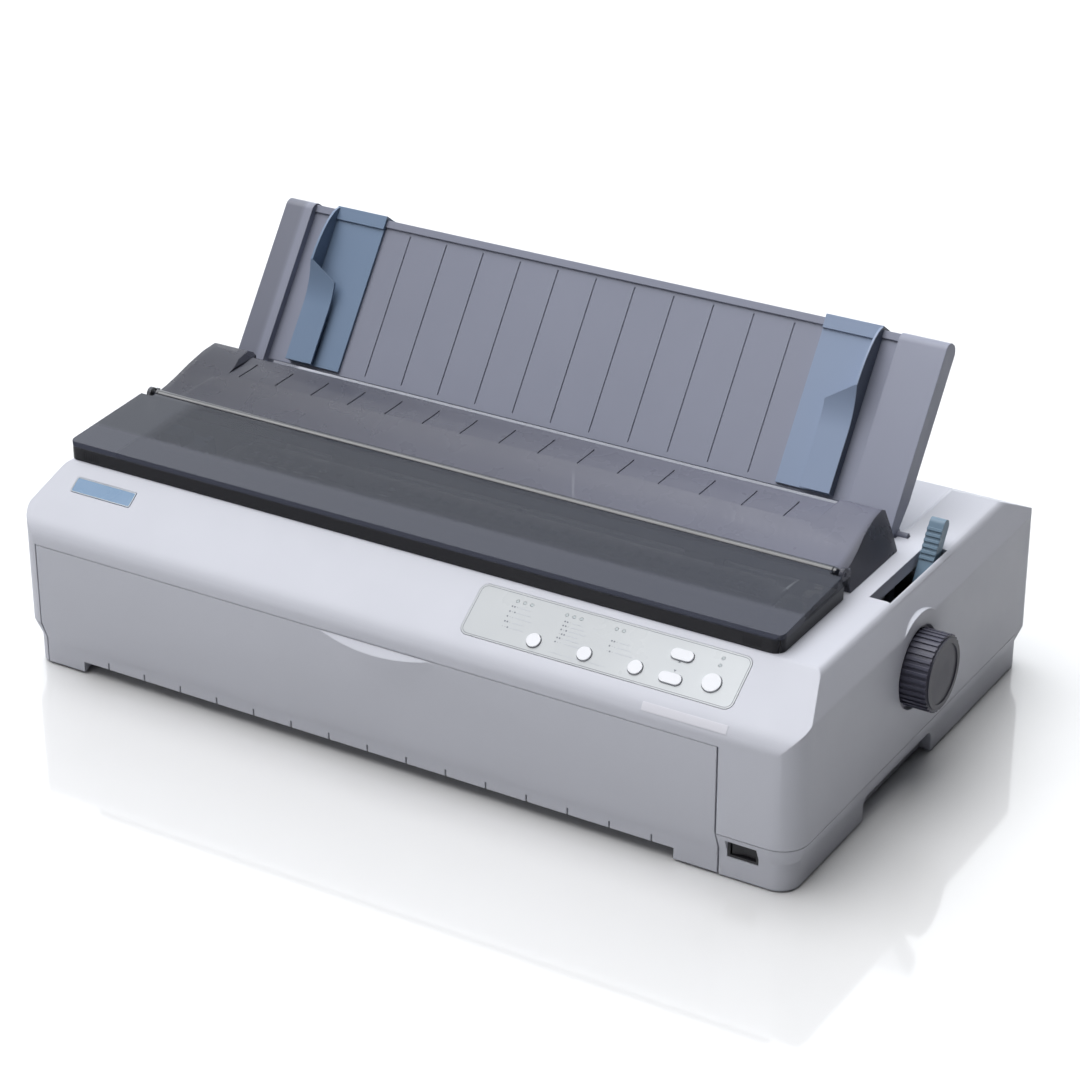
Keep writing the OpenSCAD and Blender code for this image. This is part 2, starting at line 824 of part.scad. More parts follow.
module pill(l, w) {
    translate([-l / 2 + w / 2, -w / 2]) square([l - w, w]);
    for (x = [-l / 2 + w / 2, l / 2 - w / 2]) translate([x, 0]) circle(d = w);
}

// Outlines of the six buttons, grown by g
module button_shapes(g) {
    for (p = [font_at, pitch_at, bin_at]) translate(p) circle(d = round_d + 2 * g);
    for (p = [load_at, feed_at]) translate(p) pill(pill_l + 2 * g, pill_w + 2 * g);
    translate(pause_at) circle(d = pause_d + 2 * g);
}

// Lamps: a row above each legend, two above the large button
lamp_step = 5.4;
lamp_s = 48.4;
lamp_places = concat(
    [for (x = [172.1, 134.7], k = [0:2]) [panel_x1 - x + k * lamp_step, lamp_s]],
    [for (k = [0:1]) [panel_x1 - 97.5 + k * lamp_step, lamp_s]],
    [for (k = [0:1]) [pause_at[0], lamp_s + 0.6 - k * lamp_step]]
);

module lamp_window(g) {
    for (p = lamp_places) translate(p) circle(d = lamp_d + 2 * g, $fn = 24);
}

module control_panel() {
    color(cream_col) on_slope() difference() {
        up(-panel_t) linear_extrude(panel_t + panel_up) panel_shape(0);
        up(-panel_t - cut) linear_extrude(panel_t + 3 * cut) button_shapes(button_gap);
        up(-panel_t - cut) linear_extrude(panel_t + 3 * cut) lamp_window(0.15);
    }
}

// A button's plunger, from its collar down to the key on the board
module plunger() {
    reach = board_drop - wall - key_h - key_gap - press;
    up(-wall - reach) cylinder(h = reach, d = plunger_d);
}

// A button: cap, collar under the case wall and plunger
module round_button(at, d) {
    color(grey_col) on_slope() translate(at) {
        up(-wall - seat) cylinder(h = wall + seat + button_up, d = d);
        up(-wall - seat - collar_t) cylinder(h = collar_t + eps, d = d + 2 * collar_w);
        plunger();
    }
}

module pill_button(at) {
    color(grey_col) on_slope() translate(at) {
        up(-wall - seat) linear_extrude(wall + seat + button_up) pill(pill_l, pill_w);
        up(-wall - seat - collar_t) linear_extrude(collar_t + eps)
            pill(pill_l + 2 * collar_w, pill_w + 2 * collar_w);
        plunger();
    }
}

module button_font() { round_button(font_at, round_d); }
module button_pitch() { round_button(pitch_at, round_d); }
module button_bin() { round_button(bin_at, round_d); }
module button_load() { pill_button(load_at); }
module button_feed() { pill_button(feed_at); }
module button_pause() { round_button(pause_at, pause_d); }

module panel_lamps() {
    color("#5fae6a") on_slope() for (p = lamp_places) translate(p) up(-board_drop)
        cylinder(h = board_drop + panel_up, d = lamp_d, $fn = 24);
}

// Board with the switch bodies, hung on posts under the slope
module panel_board() {
    color(board_col) on_slope() {
        translate([panel_x0 + 4, panel_s0 - 2, -board_drop - board_t])
            cube([panel_x1 - panel_x0 - 8, panel_s1 - panel_s0 - 1, board_t]);
        for (p = [font_at, pitch_at, bin_at, load_at, feed_at, pause_at])
            translate([p[0] - key_w / 2, p[1] - key_w / 2, -board_drop]) cube([key_w, key_w, key_h]);
        for (x = [panel_x0 + 8, (panel_x0 + panel_x1) / 2 - 27, panel_x1 - 8])
            translate([x, panel_s0 + 2, -board_drop]) cylinder(h = board_drop - wall, d = post_d);
    }
}

// ---- power switch and badge ----

switch_y = skirt_in + 0.4;
switch_back_y = 21.5;
rocker_y = switch_y + 3.2;
rocker_pin_y = rocker_y + 2;
rocker_pin_d = 2;
switch_fit = 0.2;

module switch_body() {
    color(dark_col) difference() {
        block(switch_x + switch_fit, switch_y, switch_z + switch_fit,
            switch_x + switch_w - switch_fit, switch_back_y, switch_z + switch_h - switch_fit);
        block(switch_x + 2, switch_y - cut, switch_z + 1.8,
            switch_x + switch_w - 2, rocker_pin_y + 3.1, switch_z + switch_h - 1.8);
        translate([switch_x + switch_w / 2, rocker_pin_y, switch_z])
            cylinder(h = switch_h, d = rocker_pin_d + 2 * run, $fn = 32);
    }
}

// Rocker that tips left and right about an upright pin
module switch_rocker() {
    mid = switch_x + switch_w / 2;
    half = switch_w / 2 - 2.9;
    side = 2.2;
    end = 0.6;
    color(dark_col) {
        translate([mid, rocker_y, switch_z + side]) linear_extrude(switch_h - 2 * side) polygon([
            [-half, 1.6], [-half, -2.2], [0, -0.6], [half, -1], [half, 1.6], [2.2, 3.4], [-2.2, 3.4]
        ]);
        translate([mid, rocker_pin_y, switch_z + end])
            cylinder(h = switch_h - 2 * end, d = rocker_pin_d, $fn = 32);
    }
}

module badge_shape(grow) {
    round_rect(badge_x0 - grow, badge_s0 - grow, badge_x1 + grow, badge_s1 + grow, 1.5);
}

module badge_plate() {
    color(blue_col) on_slope() up(-badge_sink)
        linear_extrude(badge_sink + badge_up) badge_shape(0);
}

// ---- covers ----

// Lower edge of the covers; the inside is cut right through it
function sill(i) = cover_z + (i > 0 ? -cut : 0);

// Side outline of the window cover, drawn in by i
function window_points(i) = [
    [window_y + i, sill(i)],
    [window_y + 0.6 + i, window_z - 2.5 - i * 0.4],
    [window_y + 2.6 + i, window_z - i],
    [bar_y - 4, bar_z + 2.2 - i],
    [bar_y + (i > 0 ? 3 : 0), bar_z + 1.8 - i],
    [bar_y + (i > 0 ? 3 : 0), sill(i)]
];

module window_cover() {
    color(smoke_col, 0.6) difference() {
        intersection() {
            along_x(cover_x0, cover_x1) polygon(window_points(0));
            up(cover_z) linear_extrude(40)
                round_rect(cover_x0, window_y, cover_x1, bar_y + 30, 8);
        }
        along_x(cover_x0 + cover_t, cover_x1 - cover_t) polygon(window_points(cover_t));
        // Notches in the ends where the hinge bar swings
        for (x = [cover_x0 - cut, cover_x1 - 9]) rod_x(x, x + 10 + cut, bar_y, bar_z, bar_d + 8);
        block(cover_x0 - cut, bar_y - 4.5, cover_z - cut, cover_x1 + cut, bar_y + cut, bar_z - 7);
        rod_x(bar_x0 - cut, bar_x1 + cut, bar_y, bar_z, bar_d);
        // Grip ribs at the front corners
        for (s = [0, 1], i = [0:6]) {
            x = s == 0 ? cover_x0 + 14 + i * 2 : cover_x1 - 15 - i * 2;
            block(x, window_y - cut, cover_z + 2, x + 0.8, window_y + 0.5, window_z - 4);
        }
    }
}

bar_x0 = cover_x0 + 6.6;
bar_x1 = cover_x1 - 5.7;
bar_pin_d = 3;
ear_t = 3;

module hinge_bar() {
    color(smoke_col, 0.8) {
        rod_x(bar_x0 + 4.4, bar_x1 - 4.4, bar_y, bar_z, bar_d);
        rod_x(bar_x0 + 2.6, bar_x1 - 2.6, bar_y, bar_z, bar_d - 3);
        for (x = [bar_x0 + 3, bar_x1 - 3]) translate([x, bar_y, bar_z]) sphere(d = bar_d - 0.4, $fn = 40);
        rod_x(bar_x0 - 3, bar_x1 + 3, bar_y, bar_z, bar_pin_d);
    }
}

// Side outline of the top cover, drawn in by i, its ridge d lower
function top_points(i, d) = [
    [top_y0 + i, sill(i)],
    [top_y0 + i, bar_z - 1.5 - i],
    [top_y0 + 10, bar_z + 0.6 - i],
    [top_y0 + 20.5, case_top + 20 - i],
    [knee_y, knee_z - i],
    [brow_y, brow_z - d - i],
    [ridge_y - i, ridge_z - d - i],
    [ridge_y + 4 - i, ridge_z - d - 1.8 - i],
    [top_y1 - 1 - i, case_top + 16],
    [top_y1 - i, sill(i)]
];

// Front outline of the top cover with its leaning ends, drawn in by i
function cap_points(i) = [
    [cover_x0 + i, sill(i)],
    [cover_x0 + cap_lean + i, ridge_z + eps],
    [cover_x1 - cap_lean - i, ridge_z + eps],
    [cover_x1 - i, sill(i)]
];

module top_solid(i) {
    intersection() {
        union() {
            along_x(cover_x0, cover_x1) polygon(top_points(i, ridge_step));
            // Raised ends of the ridge with slanting inner sides
            for (s = [-1, 1]) intersection() {
                along_x(cover_x0, cover_x1) polygon(top_points(i, 0));
                along_y(top_y0, top_y1) ridge_end(s < 0 ? cover_x0 : cover_x1, s, i);
            }
        }
        along_y(top_y0 - 20, top_y1) polygon(cap_points(i));
    }
}

// Front outline of a raised end, from the cover's end x inwards, drawn in by i
module ridge_end(x, s, i) {
    top_x = x - s * (ridge_end_l - i);
    foot_x = top_x - s * ridge_step;
    polygon([
        [x, 0], [x, ridge_z + cut], [top_x, ridge_z + cut], [top_x, ridge_z - i],
        [foot_x, ridge_z - ridge_step - i], [foot_x, 0]
    ]);
}

module top_cover() {
    color(smoke_col, 0.7) difference() {
        union() {
            difference() {
                top_solid(0);
                top_solid(cover_t);
            }
            // Ears that take the hinge bar's ends
            for (x = [bar_x0 - 4.2, bar_x1 + 1.2]) difference() {
                union() {
                    rod_x(x, x + ear_t, bar_y, bar_z, bar_pin_d + 6);
                    block(x, bar_y, bar_z - 4.5, x + ear_t, top_y0 + cover_t, bar_z + 1);
                }
                rod_x(x - cut, x + ear_t + cut, bar_y, bar_z, bar_pin_d + 2 * run);
            }
        }
        // Short grooves that end at the ridge
        for (x = [cover_x0 + rib_x:rib_pitch:cover_x1 - rib_x]) on_top_slope()
            translate([x, -1, -0.7]) cube([1, 23, 3]);
        // Space for the guide's swing behind the ridge
        block(cover_x0 - cut, top_y1 - 0.2, 0, cover_x1 + cut, top_y1 + 5, case_top * 2);
    }
}

// Frame on the top cover's face, between knee and ridge
module on_top_slope() {
    rise = brow_z - ridge_step - knee_z;
    translate([0, knee_y, knee_z]) rotate([atan(rise / (brow_y - knee_y)), 0, 0]) children();
}

// ---- paper guide ----

// Outline of a wing: along the face, out of the face
module wing_shape() {
    r = 7;
    polygon(concat(
        [[0, 0], [guide_l - r, 0]],
        arc([guide_l - r, -r], r, 90, 0, 5),
        arc([guide_l - r, -guide_t + r], r, 0, -90, 5),
        [[22, -guide_t], [-3.8, -11.9]]
    ));
}

// A piece drawn along X in the guide's frame
module guide_span(x0, x1) {
    on_guide() along_x(x0, x1) children();
}

module paper_guide() {
    px0 = guide_x0 + wing_l_w;
    px1 = guide_x1 - wing_r_w;
    color(guide_col) difference() {
        union() {
            // Wings, hollow from behind
            difference() {
                union() {
                    guide_span(guide_x0, px0) wing_shape();
                    guide_span(px1, guide_x1) wing_shape();
                }
                guide_span(guide_x0 + wing_wall, px0 - wing_wall) wing_hollow();
                guide_span(px1 + wing_wall, guide_x1 - wing_wall) wing_hollow();
            }
            // Plate between the wings and its top rail
            guide_span(px0 - eps, px1 + eps) polygon([
                [10, -plate_back], [guide_l - 3, -plate_back], [guide_l - 3, -plate_back - plate_t],
                [10, -plate_back - plate_t]
            ]);
            guide_span(px0 - eps, px1 + eps) polygon([
                [guide_l - rail_w, -plate_back + rail_up], [guide_l - rail_in, -plate_back + rail_up],
                [guide_l - rail_in, -guide_t + 3], [guide_l - rail_in - 2, -guide_t + 3],
                [guide_l - rail_in - 2, -plate_back - plate_t], [guide_l - rail_w, -plate_back - plate_t]
            ]);
            // Hinge pins
            rod_x(guide_x0 - 8, guide_x0 + eps, guide_y, guide_z, guide_pin_d);
            rod_x(guide_x1 - eps, guide_x1 + 8, guide_y, guide_z, guide_pin_d);
            // Hubs round the pins
            for (x = [guide_x0, guide_x1 - 6]) rod_x(x, x + 6, guide_y, guide_z, guide_pin_d + 3);
        }
        // Grooves of the plate
        for (x = [px0 + groove_x:groove_pitch:px1 - 10])
            guide_span(x, x + 1) translate([14, -plate_back - 0.8]) square([guide_l - 24, 2]);
    }
}

module wing_hollow() {
    translate([14, -guide_t - cut]) square([guide_l - 21, guide_t - wing_wall + cut]);
}

// A piece of an edge guide, from a to b outwards of its middle
module edge_span(mid, side, a, b) {
    guide_span(mid + min(side * a, side * b), mid + max(side * a, side * b)) children();
}

// An edge guide: plate, hook over the top rail, fence and flared lip
module edge_guide(mid, side) {
    gap = 0.3;
    sheet = 2;
    foot = 12;
    fence_t = 1.8;
    lip_w = 23;
    lip_t = 1.6;
    slant = 13;
    half = edge_w / 2;
    face = -plate_back + gap;
    rail = guide_l - rail_w - gap;
    over = rail_up;
    hook = guide_l - rail_in + gap;
    back = plate_back - gap - guide_t + 1.5;
    inner_x = mid + side * (half - fence_t);
    free_x = mid + side * (half - lip_w - cut);
    color(blue_col) difference() {
        union() {
            edge_span(mid, side, -half, half) translate([0, face]) polygon([
                [foot, 0], [rail, 0], [rail, over], [hook, over], [hook, back], [hook + sheet, back],
                [hook + sheet, over + sheet], [rail - sheet, over + sheet], [rail - sheet, sheet],
                [foot, sheet]
            ]);
            edge_span(mid, side, half - fence_t, half) translate([0, face]) polygon(concat(
                [[foot, 0], [rail, 0], [rail, over], [hook + sheet, over]],
                brow_points(hook + sheet),
                flare_points(foot, 0)
            ));
            edge_span(mid, side, half - lip_w, half) translate([0, face]) polygon(concat(
                flare_points(foot, 0),
                [for (k = [7:-1:0]) flare_points(foot, lip_t)[k]]
            ));
        }
        // The lip's upper edge slants down from the fence
        on_guide() up(face + fence_low) linear_extrude(fence_high) polygon([
            [inner_x, fence_peak], [free_x, fence_peak - slant], [free_x, fence_peak + slant],
            [inner_x, fence_peak + slant]
        ]);
    }
}

// Fence of the edge guides: low at the lip, highest at its peak
fence_low = 8;
fence_high = 17.5;
fence_peak = 88;
flare_l = 32;

// Fence from its top to the peak, a quarter of an ellipse
function brow_points(top) = [
    for (a = [10:10:80]) [fence_peak + (top - fence_peak) * cos(a), fence_high * sin(a)]
];

// Fence and lip from the peak to the foot, flared like a funnel, drawn in by i
function flare_points(foot, i) = concat(
    [for (k = [6:-1:0]) [fence_peak - flare_l + flare_l * k / 6,
        fence_low + (fence_high - fence_low) * k * k / 36 - i]],
    [[foot, fence_low - i]]
);

module edge_guide_left() { edge_guide(guide_x0 + edge_in_l, -1); }
module edge_guide_right() { edge_guide(guide_x1 - edge_in_r, 1); }

// ---- release lever ----

module release_lever() {
    lever_t = 9;
    x0 = lever_x - lever_w / 2;
    color(blue_col) difference() {
        union() {
            rod_x(x0, x0 + lever_w, lever_y, lever_z, 2 * lever_t);
            translate([x0, lever_y, lever_z]) rotate([-lever_lean, 0, 0]) {
                translate([0, -lever_t / 2, 0]) cube([lever_w, lever_t, lever_l - lever_t / 2]);
                up(lever_l - lever_t / 2) rotate([0, 90, 0])
                    cylinder(h = lever_w, d = lever_t);
                // Grip ribs near the top
                for (i = [0:5]) translate([0, -lever_t * 0.6, lever_l - 10 - i * 4]) cube([lever_w, 2, 2]);
            }
        }
        rod_x(x0 - cut, x0 + lever_w + cut, lever_y, lever_z, lever_pin_d);
    }
}

module release_shaft() {
    color(steel_col)
        rod_x(bracket_x - bracket_w - 2, lever_x + lever_w / 2 + 1, lever_y, lever_z, lever_pin_d);
}

// Folded bracket that carries the release shaft and the platen shaft's end
module shaft_bracket() {
    inner_x = bracket_x - bracket_w;
    color(steel_col) difference() {
        union() {
            for (x = [inner_x, bracket_x]) along_x(x, x + frame_t) polygon([
                [platen_y - 22, floor_z], [lever_y + 24, floor_z], [lever_y + 14, lever_z + 14],
                [platen_y - 12, platen_z + 14]
            ]);
            block(inner_x, platen_y - 22, floor_z, bracket_x + eps, lever_y + 24, floor_z + frame_t);
        }
        rod_x(inner_x - cut, bracket_x + frame_t + cut, platen_y, platen_z, shaft_d + 2 * run);
        rod_x(inner_x - cut, bracket_x + frame_t + cut, lever_y, lever_z, lever_pin_d + 2 * run);
    }
}

// ---- platen ----

module platen_knob() {
    knob_x1 = half_w + knob_proud;
    chamfer = 1.2;
    flute_h = 2;
    flute_w = 2.2;
    color(dark_col) difference() {
        union() {
            rod_x(knob_x0, knob_x1 - chamfer, platen_y, platen_z, knob_d - flute_h);
            rod_x(knob_x1 - chamfer - eps, knob_x1, platen_y, platen_z, knob_d - flute_h - 2 * chamfer);
            // Ribs round the rim
            translate([knob_x0 + 2, platen_y, platen_z]) rotate([90, 0, 90])
                linear_extrude(knob_x1 - knob_x0 - 3.4) for (i = [0:35]) rotate(i * 10)
                    translate([knob_d / 2 - flute_h, -flute_w / 2]) square([flute_h, flute_w]);
        }
        rod_x(knob_x0 - cut, knob_x0 + knob_bore, platen_y, platen_z, shaft_d);
        rod_x(knob_x1 - 0.8, knob_x1 + cut, platen_y, platen_z, knob_d - 12);
    }
}

module platen_roller() {
    color(rubber_col) difference() {
        rod_x(roller_x0, roller_x1, platen_y, platen_z, 2 * platen_r);
        rod_x(roller_x0 - cut, roller_x1 + cut, platen_y, platen_z, shaft_d);
    }
}

module platen_shaft() {
    color(steel_col) rod_x(frame_l - 8, knob_x0 + knob_bore - 0.4, platen_y, platen_z, shaft_d);
}

module platen_gear() {
    color(cream_col) gear_x(plane_b, gear_w, platen_y, platen_z, platen_teeth, shaft_d, 0);
}

// Flanged bushes pressed into the side frames
module platen_bushes() {
    color(cream_col) for (s = [0, 1]) {
        x = s == 0 ? frame_l - frame_t : frame_r;
        flange = s == 0 ? x + frame_t : x - flange_t;
        difference() {
            union() {
                rod_x(x, x + frame_t, platen_y, platen_z, bush_d);
                rod_x(flange, flange + flange_t, platen_y, platen_z, bush_d + 6);
            }
            rod_x(x - 2 * cut, x + frame_t + 2 * cut, platen_y, platen_z, shaft_d + 2 * run);
        }
    }
}

// ---- side frames and rails ----

module frame_plate(x) {
    difference() {
        along_x(x, x + frame_t) polygon([
            [frame_y0, floor_z], [frame_y1, floor_z], [frame_y1, cartridge_z - 1],
            [tractor_y + 20, tension_z - 6], [platen_y + 22, tension_z], [platen_y - 28, tension_z],
            [platen_y - 32, cartridge_z - 2], [frame_y0 + 18, cartridge_z - 2], [frame_y0, 84]
        ]);
        rod_x(x - cut, x + frame_t + cut, platen_y, platen_z, bush_d);
        rod_x(x - cut, x + frame_t + cut, rod_y, rod_z, rod_d);
        rod_x(x - cut, x + frame_t + cut, tractor_y, tractor_z, journal_d + 2 * run);
        rod_x(x - cut, x + frame_t + cut, tractor_rod_y, tractor_rod_z, tractor_rod_d);
    }
}

// A side frame at x, its foot turned outwards at foot_x, its tab from tab_x
module frame_body(x, foot_x, tab_x) {
    frame_plate(x);
    block(foot_x, frame_y0, floor_z, foot_x + frame_foot_w + eps, frame_y1, floor_z + frame_t);
    // Tab under the ribbon cartridge
    block(tab_x, tab_y0, cartridge_z - 2 - eps, tab_x + tab_w + frame_t, tab_y1, cartridge_z);
}

module frame_left() {
    x = frame_l - frame_t;
    color(steel_col) difference() {
        union() {
            frame_body(x, x - frame_foot_w, x);
            // Shelf of the carriage motor
            block(x, pulley_y - 22, shelf_z - frame_t, drive_x + 24, pulley_y + 22, shelf_z);
            // Pin of the head gap lever
            rod_x(x - 7, x + eps, gap_y, gap_z, gap_pin_d);
        }
        translate([drive_x, pulley_y]) cylinder(h = shelf_z + cut, d = collar_d + 0.4);
    }
}

module frame_right() {
    x = frame_r + frame_t;
    color(steel_col) difference() {
        union() {
            frame_body(frame_r, x - eps, frame_r - tab_w);
            // Shelf and stud of the belt's idler pulley
            block(idle_x - 12, pulley_y - 16, shelf_z - frame_t, x, pulley_y + 16, shelf_z);
            translate([idle_x, pulley_y, shelf_z - eps]) cylinder(h = pulley_h + 7, d = idle_pin_d);
            // Studs of the reduction gear and the tractor idler
            rod_x(x - eps, plane_a + gear_w + 1, platen_y, reduction_z, stud_d);
            rod_x(x - eps, plane_b + gear_w + 1, idler_y, tractor_z, stud_d);
        }
        rod_x(frame_r - cut, x + cut, motor_y, motor_z, motor_boss_d + 2);
    }
}

// Folded rail in front of the carriage, and the rear beam
module front_rail() {
    color(steel_col) {
        block(frame_l, rail_y - frame_t, shelf_z + 2, frame_r, rail_y, rail_top);
        block(frame_l, rail_y - rail_d, shelf_z + 2, frame_r, rail_y, shelf_z + 2 + frame_t);
        block(frame_l, rail_y - rail_d, low_z, frame_r, rail_y - rail_d + frame_t, shelf_z + 2 + frame_t);
        // Rear beam
        block(frame_l, beam_y, low_z, frame_r, beam_y + frame_t, beam_top);
        block(frame_l, beam_y, beam_top - frame_t, frame_r, beam_y + rail_d, beam_top + eps);
    }
}

// A rod through both side frames
module long_rod(y, z, d) {
    rod_x(frame_l - frame_t - rod_span, frame_r + frame_t + rod_span, y, z, d);
}

module carriage_rod() {
    color(steel_col) long_rod(rod_y, rod_z, rod_d);
}

// ---- carriage and head ----

module carriage() {
    x0 = carriage_x - carriage_w / 2;
    x1 = carriage_x + carriage_w / 2;
    belt_y = pulley_y + pulley_r;
    slot_gap = 0.3;
    color(dark_col) difference() {
        union() {
            // Long bearing round the rod
            rod_x(x0, x1, rod_y, rod_z, rod_d + 10);
            block(x0, rod_y - 6, rod_z + 4, x1, rod_y + 8, bed_z);
            // Bed of the print head and front foot on the rail
            block(x0 + 4, rail_y - 5, bed_z - 12, x1 - 4, rod_y, bed_z);
            block(x0 + 12, rail_y - 8, bed_z - 22, x1 - 12, rail_y + 6, bed_z - 4);
            // Fork that grips the belt
            block(carriage_x - 8, belt_y - 3, pulley_z - 2, carriage_x + 8, belt_y + 5, bed_z - 10);
        }
        rod_x(x0 - cut, x1 + cut, rod_y, rod_z, rod_d + 2 * run);
        block(x0 - cut, rail_y - frame_t - slot_gap, rail_top - 22, x1 + cut, rail_y + slot_gap,
            rail_top + slot_gap);
        block(x0, belt_y - 0.4, pulley_z - 3, x1, belt_y + belt_t + 0.4, pulley_z + pulley_h + 0.4);
    }
}

module print_head() {
    x = carriage_x;
    head_w = 40;
    fin_pitch = 6.3;
    head_y = 98;
    color(grey_col) {
        // Finned body on its bed
        block(x - head_w / 2, head_y + 2, bed_z, x + head_w / 2, rod_y, bed_z + 6);
        for (i = [0:6]) block(x - head_w / 2 + i * fin_pitch, head_y, bed_z + 6 - eps,
            x - head_w / 2 + 2 + i * fin_pitch, rod_y - 2, bed_z + 24);
        block(x - head_w / 2 + 4, head_y + 6, bed_z + 5, x + head_w / 2 - 4, rod_y - 2, bed_z + 22);
        // Nose towards the platen
        translate([x, 0, bed_z + 2]) linear_extrude(16) polygon([
            [-12, rod_y - 2], [12, rod_y - 2], [3, head_nose_y], [-3, head_nose_y]
        ]);
    }
}

// ---- ribbon ----

module ribbon_cartridge() {
    arm_w = 10;
    color(dark_col) difference() {
        union() {
            block(frame_l + 2, 94, cartridge_z, frame_r - 2, 136, cartridge_z + 13);
            // Arms that bring the ribbon down in front of the platen
            for (x = [ribbon_x0 - arm_w, ribbon_x1]) along_x(x, x + arm_w) polygon([
                [120, cartridge_z + 11], [152, cartridge_z + 6], [ribbon_y + 0.6, ribbon_z + ribbon_h + 2],
                [ribbon_y + 0.6, ribbon_z - 2], [150, ribbon_z - 2], [140, cartridge_z - 5],
                [120, cartridge_z]
            ]);
        }
        // Hole of the take-up knob
        translate([dial_x, dial_y, cartridge_z + 6]) cylinder(h = 20, d = dial_d + 2 * run);
    }
}

module ribbon() {
    color("#15151a")
        block(ribbon_x0 - eps, ribbon_y, ribbon_z, ribbon_x1 + eps, ribbon_y + 0.4, ribbon_z + ribbon_h);
}

module ribbon_knob() {
    stem_h = 7;
    cap_d = 16;
    cap_h = 6;
    color(blue_col) translate([dial_x, dial_y, cartridge_z + 6.3]) {
        cylinder(h = stem_h + 1, d = dial_d);
        up(stem_h) cylinder(h = cap_h, d = cap_d);
        for (a = [0, 90]) rotate(a)
            translate([-cap_d / 2 + 1, -1, stem_h + cap_h - 1]) cube([cap_d - 2, 2, 2.5]);
    }
}

// ---- belt drive ----

module timing_belt() {
    color(rubber_col) difference() {
        belt_loop(pulley_z, pulley_h, pulley_r + belt_t);
        belt_loop(pulley_z - cut, pulley_h + 2 * cut, pulley_r + 0.3);
    }
}

// The belt's outline at radius r, h high from z
module belt_loop(z, h, r) {
    up(z) linear_extrude(h) {
        translate([drive_x, pulley_y - r]) square([idle_x - drive_x, 2 * r]);
        for (x = [drive_x, idle_x]) translate([x, pulley_y]) circle(r);
    }
}

module carriage_motor() {
    motor_z0 = 8;
    shelf_under = shelf_z - frame_t;
    color(dark_col) translate([drive_x, pulley_y]) {
        up(motor_z0) cylinder(h = shelf_under - motor_z0, d = motor_d);
        up(shelf_under - eps) cylinder(h = frame_t + 0.4, d = collar_d);
        up(shelf_z) cylinder(h = pulley_h + 6, d = drive_pin_d);
    }
}

module pulley(x, bore) {
    rim_z = pulley_z - pulley_spare;
    height = pulley_h + 2 * pulley_spare;
    color(cream_col) translate([x, pulley_y, rim_z]) difference() {
        union() {
            cylinder(h = height, r = pulley_r);
            for (z = [0, height - pulley_rim])
                up(z) cylinder(h = pulley_rim, r = pulley_r + 2.5);
        }
        up(-cut) cylinder(h = height + 2 * cut, d = bore);
    }
}

module drive_pulley() { pulley(drive_x, drive_pin_d + 2 * run); }
module idler_pulley() { pulley(idle_x, idle_pin_d + 2 * run); }

// ---- feed motor and gears ----

module feed_motor() {
    color(dark_col) {
        rod_x(frame_r - 36, frame_r, motor_y, motor_z, motor_d);
        rod_x(frame_r - eps, frame_r + frame_t + 0.4, motor_y, motor_z, motor_boss_d);
        rod_x(frame_r, plane_a + gear_w + 1, motor_y, motor_z, motor_pin_d);
    }
}

module feed_pinion() {
    color(brass_col)
        gear_x(plane_a, gear_w, motor_y, motor_z, pinion_teeth, motor_pin_d + 2 * run, pinion_turn);
}

module reduction_gear() {
    bore = stud_d + 2 * run;
    color(cream_col) {
        gear_x(plane_b, plane_a - plane_b + eps, platen_y, reduction_z, step_teeth, bore, step_turn);
        gear_x(plane_a, gear_w, platen_y, reduction_z, wheel_teeth, bore, -motor_angle);
    }
}

module tractor_idler() {
    color(cream_col) gear_x(plane_b, gear_w, idler_y, tractor_z, idler_teeth, stud_d + 2 * run,
        180 / idler_teeth);
}

module tractor_gear() {
    color(cream_col) gear_x(plane_b, gear_w, tractor_y, tractor_z, tractor_teeth, gear_end_d, 0);
}

// ---- tractors ----

// Square shaft with round journals in the side frames
module tractor_shaft() {
    color(steel_col) {
        block(frame_l + 1, tractor_y - square_w / 2, tractor_z - square_w / 2,
            frame_r - 1, tractor_y + square_w / 2, tractor_z + square_w / 2);
        rod_x(frame_l - frame_t - 1, frame_l + 1 + eps, tractor_y, tractor_z, journal_d);
        rod_x(frame_r - 1 - eps, plane_b, tractor_y, tractor_z, journal_d);
        rod_x(plane_b - eps, plane_b + gear_w + 1, tractor_y, tractor_z, gear_end_d);
    }
}

module tractor_rod() {
    color(steel_col) long_rod(tractor_rod_y, tractor_rod_z, tractor_rod_d);
}

// A tractor: body, feed pins and pressure lid
module tractor(x) {
    x0 = x - tractor_w / 2;
    x1 = x + tractor_w / 2;
    pin_z = 14;
    lid_z = pin_z + 2.4;
    color(dark_col) difference() {
        translate([0, tractor_y, tractor_z]) {
            along_x(x0, x1) polygon([
                [-24, -20], [-4, -20], [16, -10], [16, 10], [8, pin_z], [-16, pin_z], [-24, 6]
            ]);
            block(x0, -18, lid_z, x1, 10, lid_z + 2.6);
            block(x0, -18, pin_z - 1, x0 + 4, -10, lid_z + 1);
            // Feed pins in a row
            for (y = [-12.7, 0, 7]) translate([x0 + 15, y, pin_z - 1]) cylinder(h = 2.6, d = 3, $fn = 24);
        }
        rod_x(x0 - cut, x1 + cut, tractor_y, tractor_z, square_w * sqrt(2) + 0.6);
        rod_x(x0 - cut, x1 + cut, tractor_rod_y, tractor_rod_z, tractor_rod_d + 2 * run);
    }
}

module tractor_left() { tractor(frame_l + tractor_in_l); }
module tractor_right() { tractor(frame_r - tractor_in_r); }

// ---- paper tension unit ----

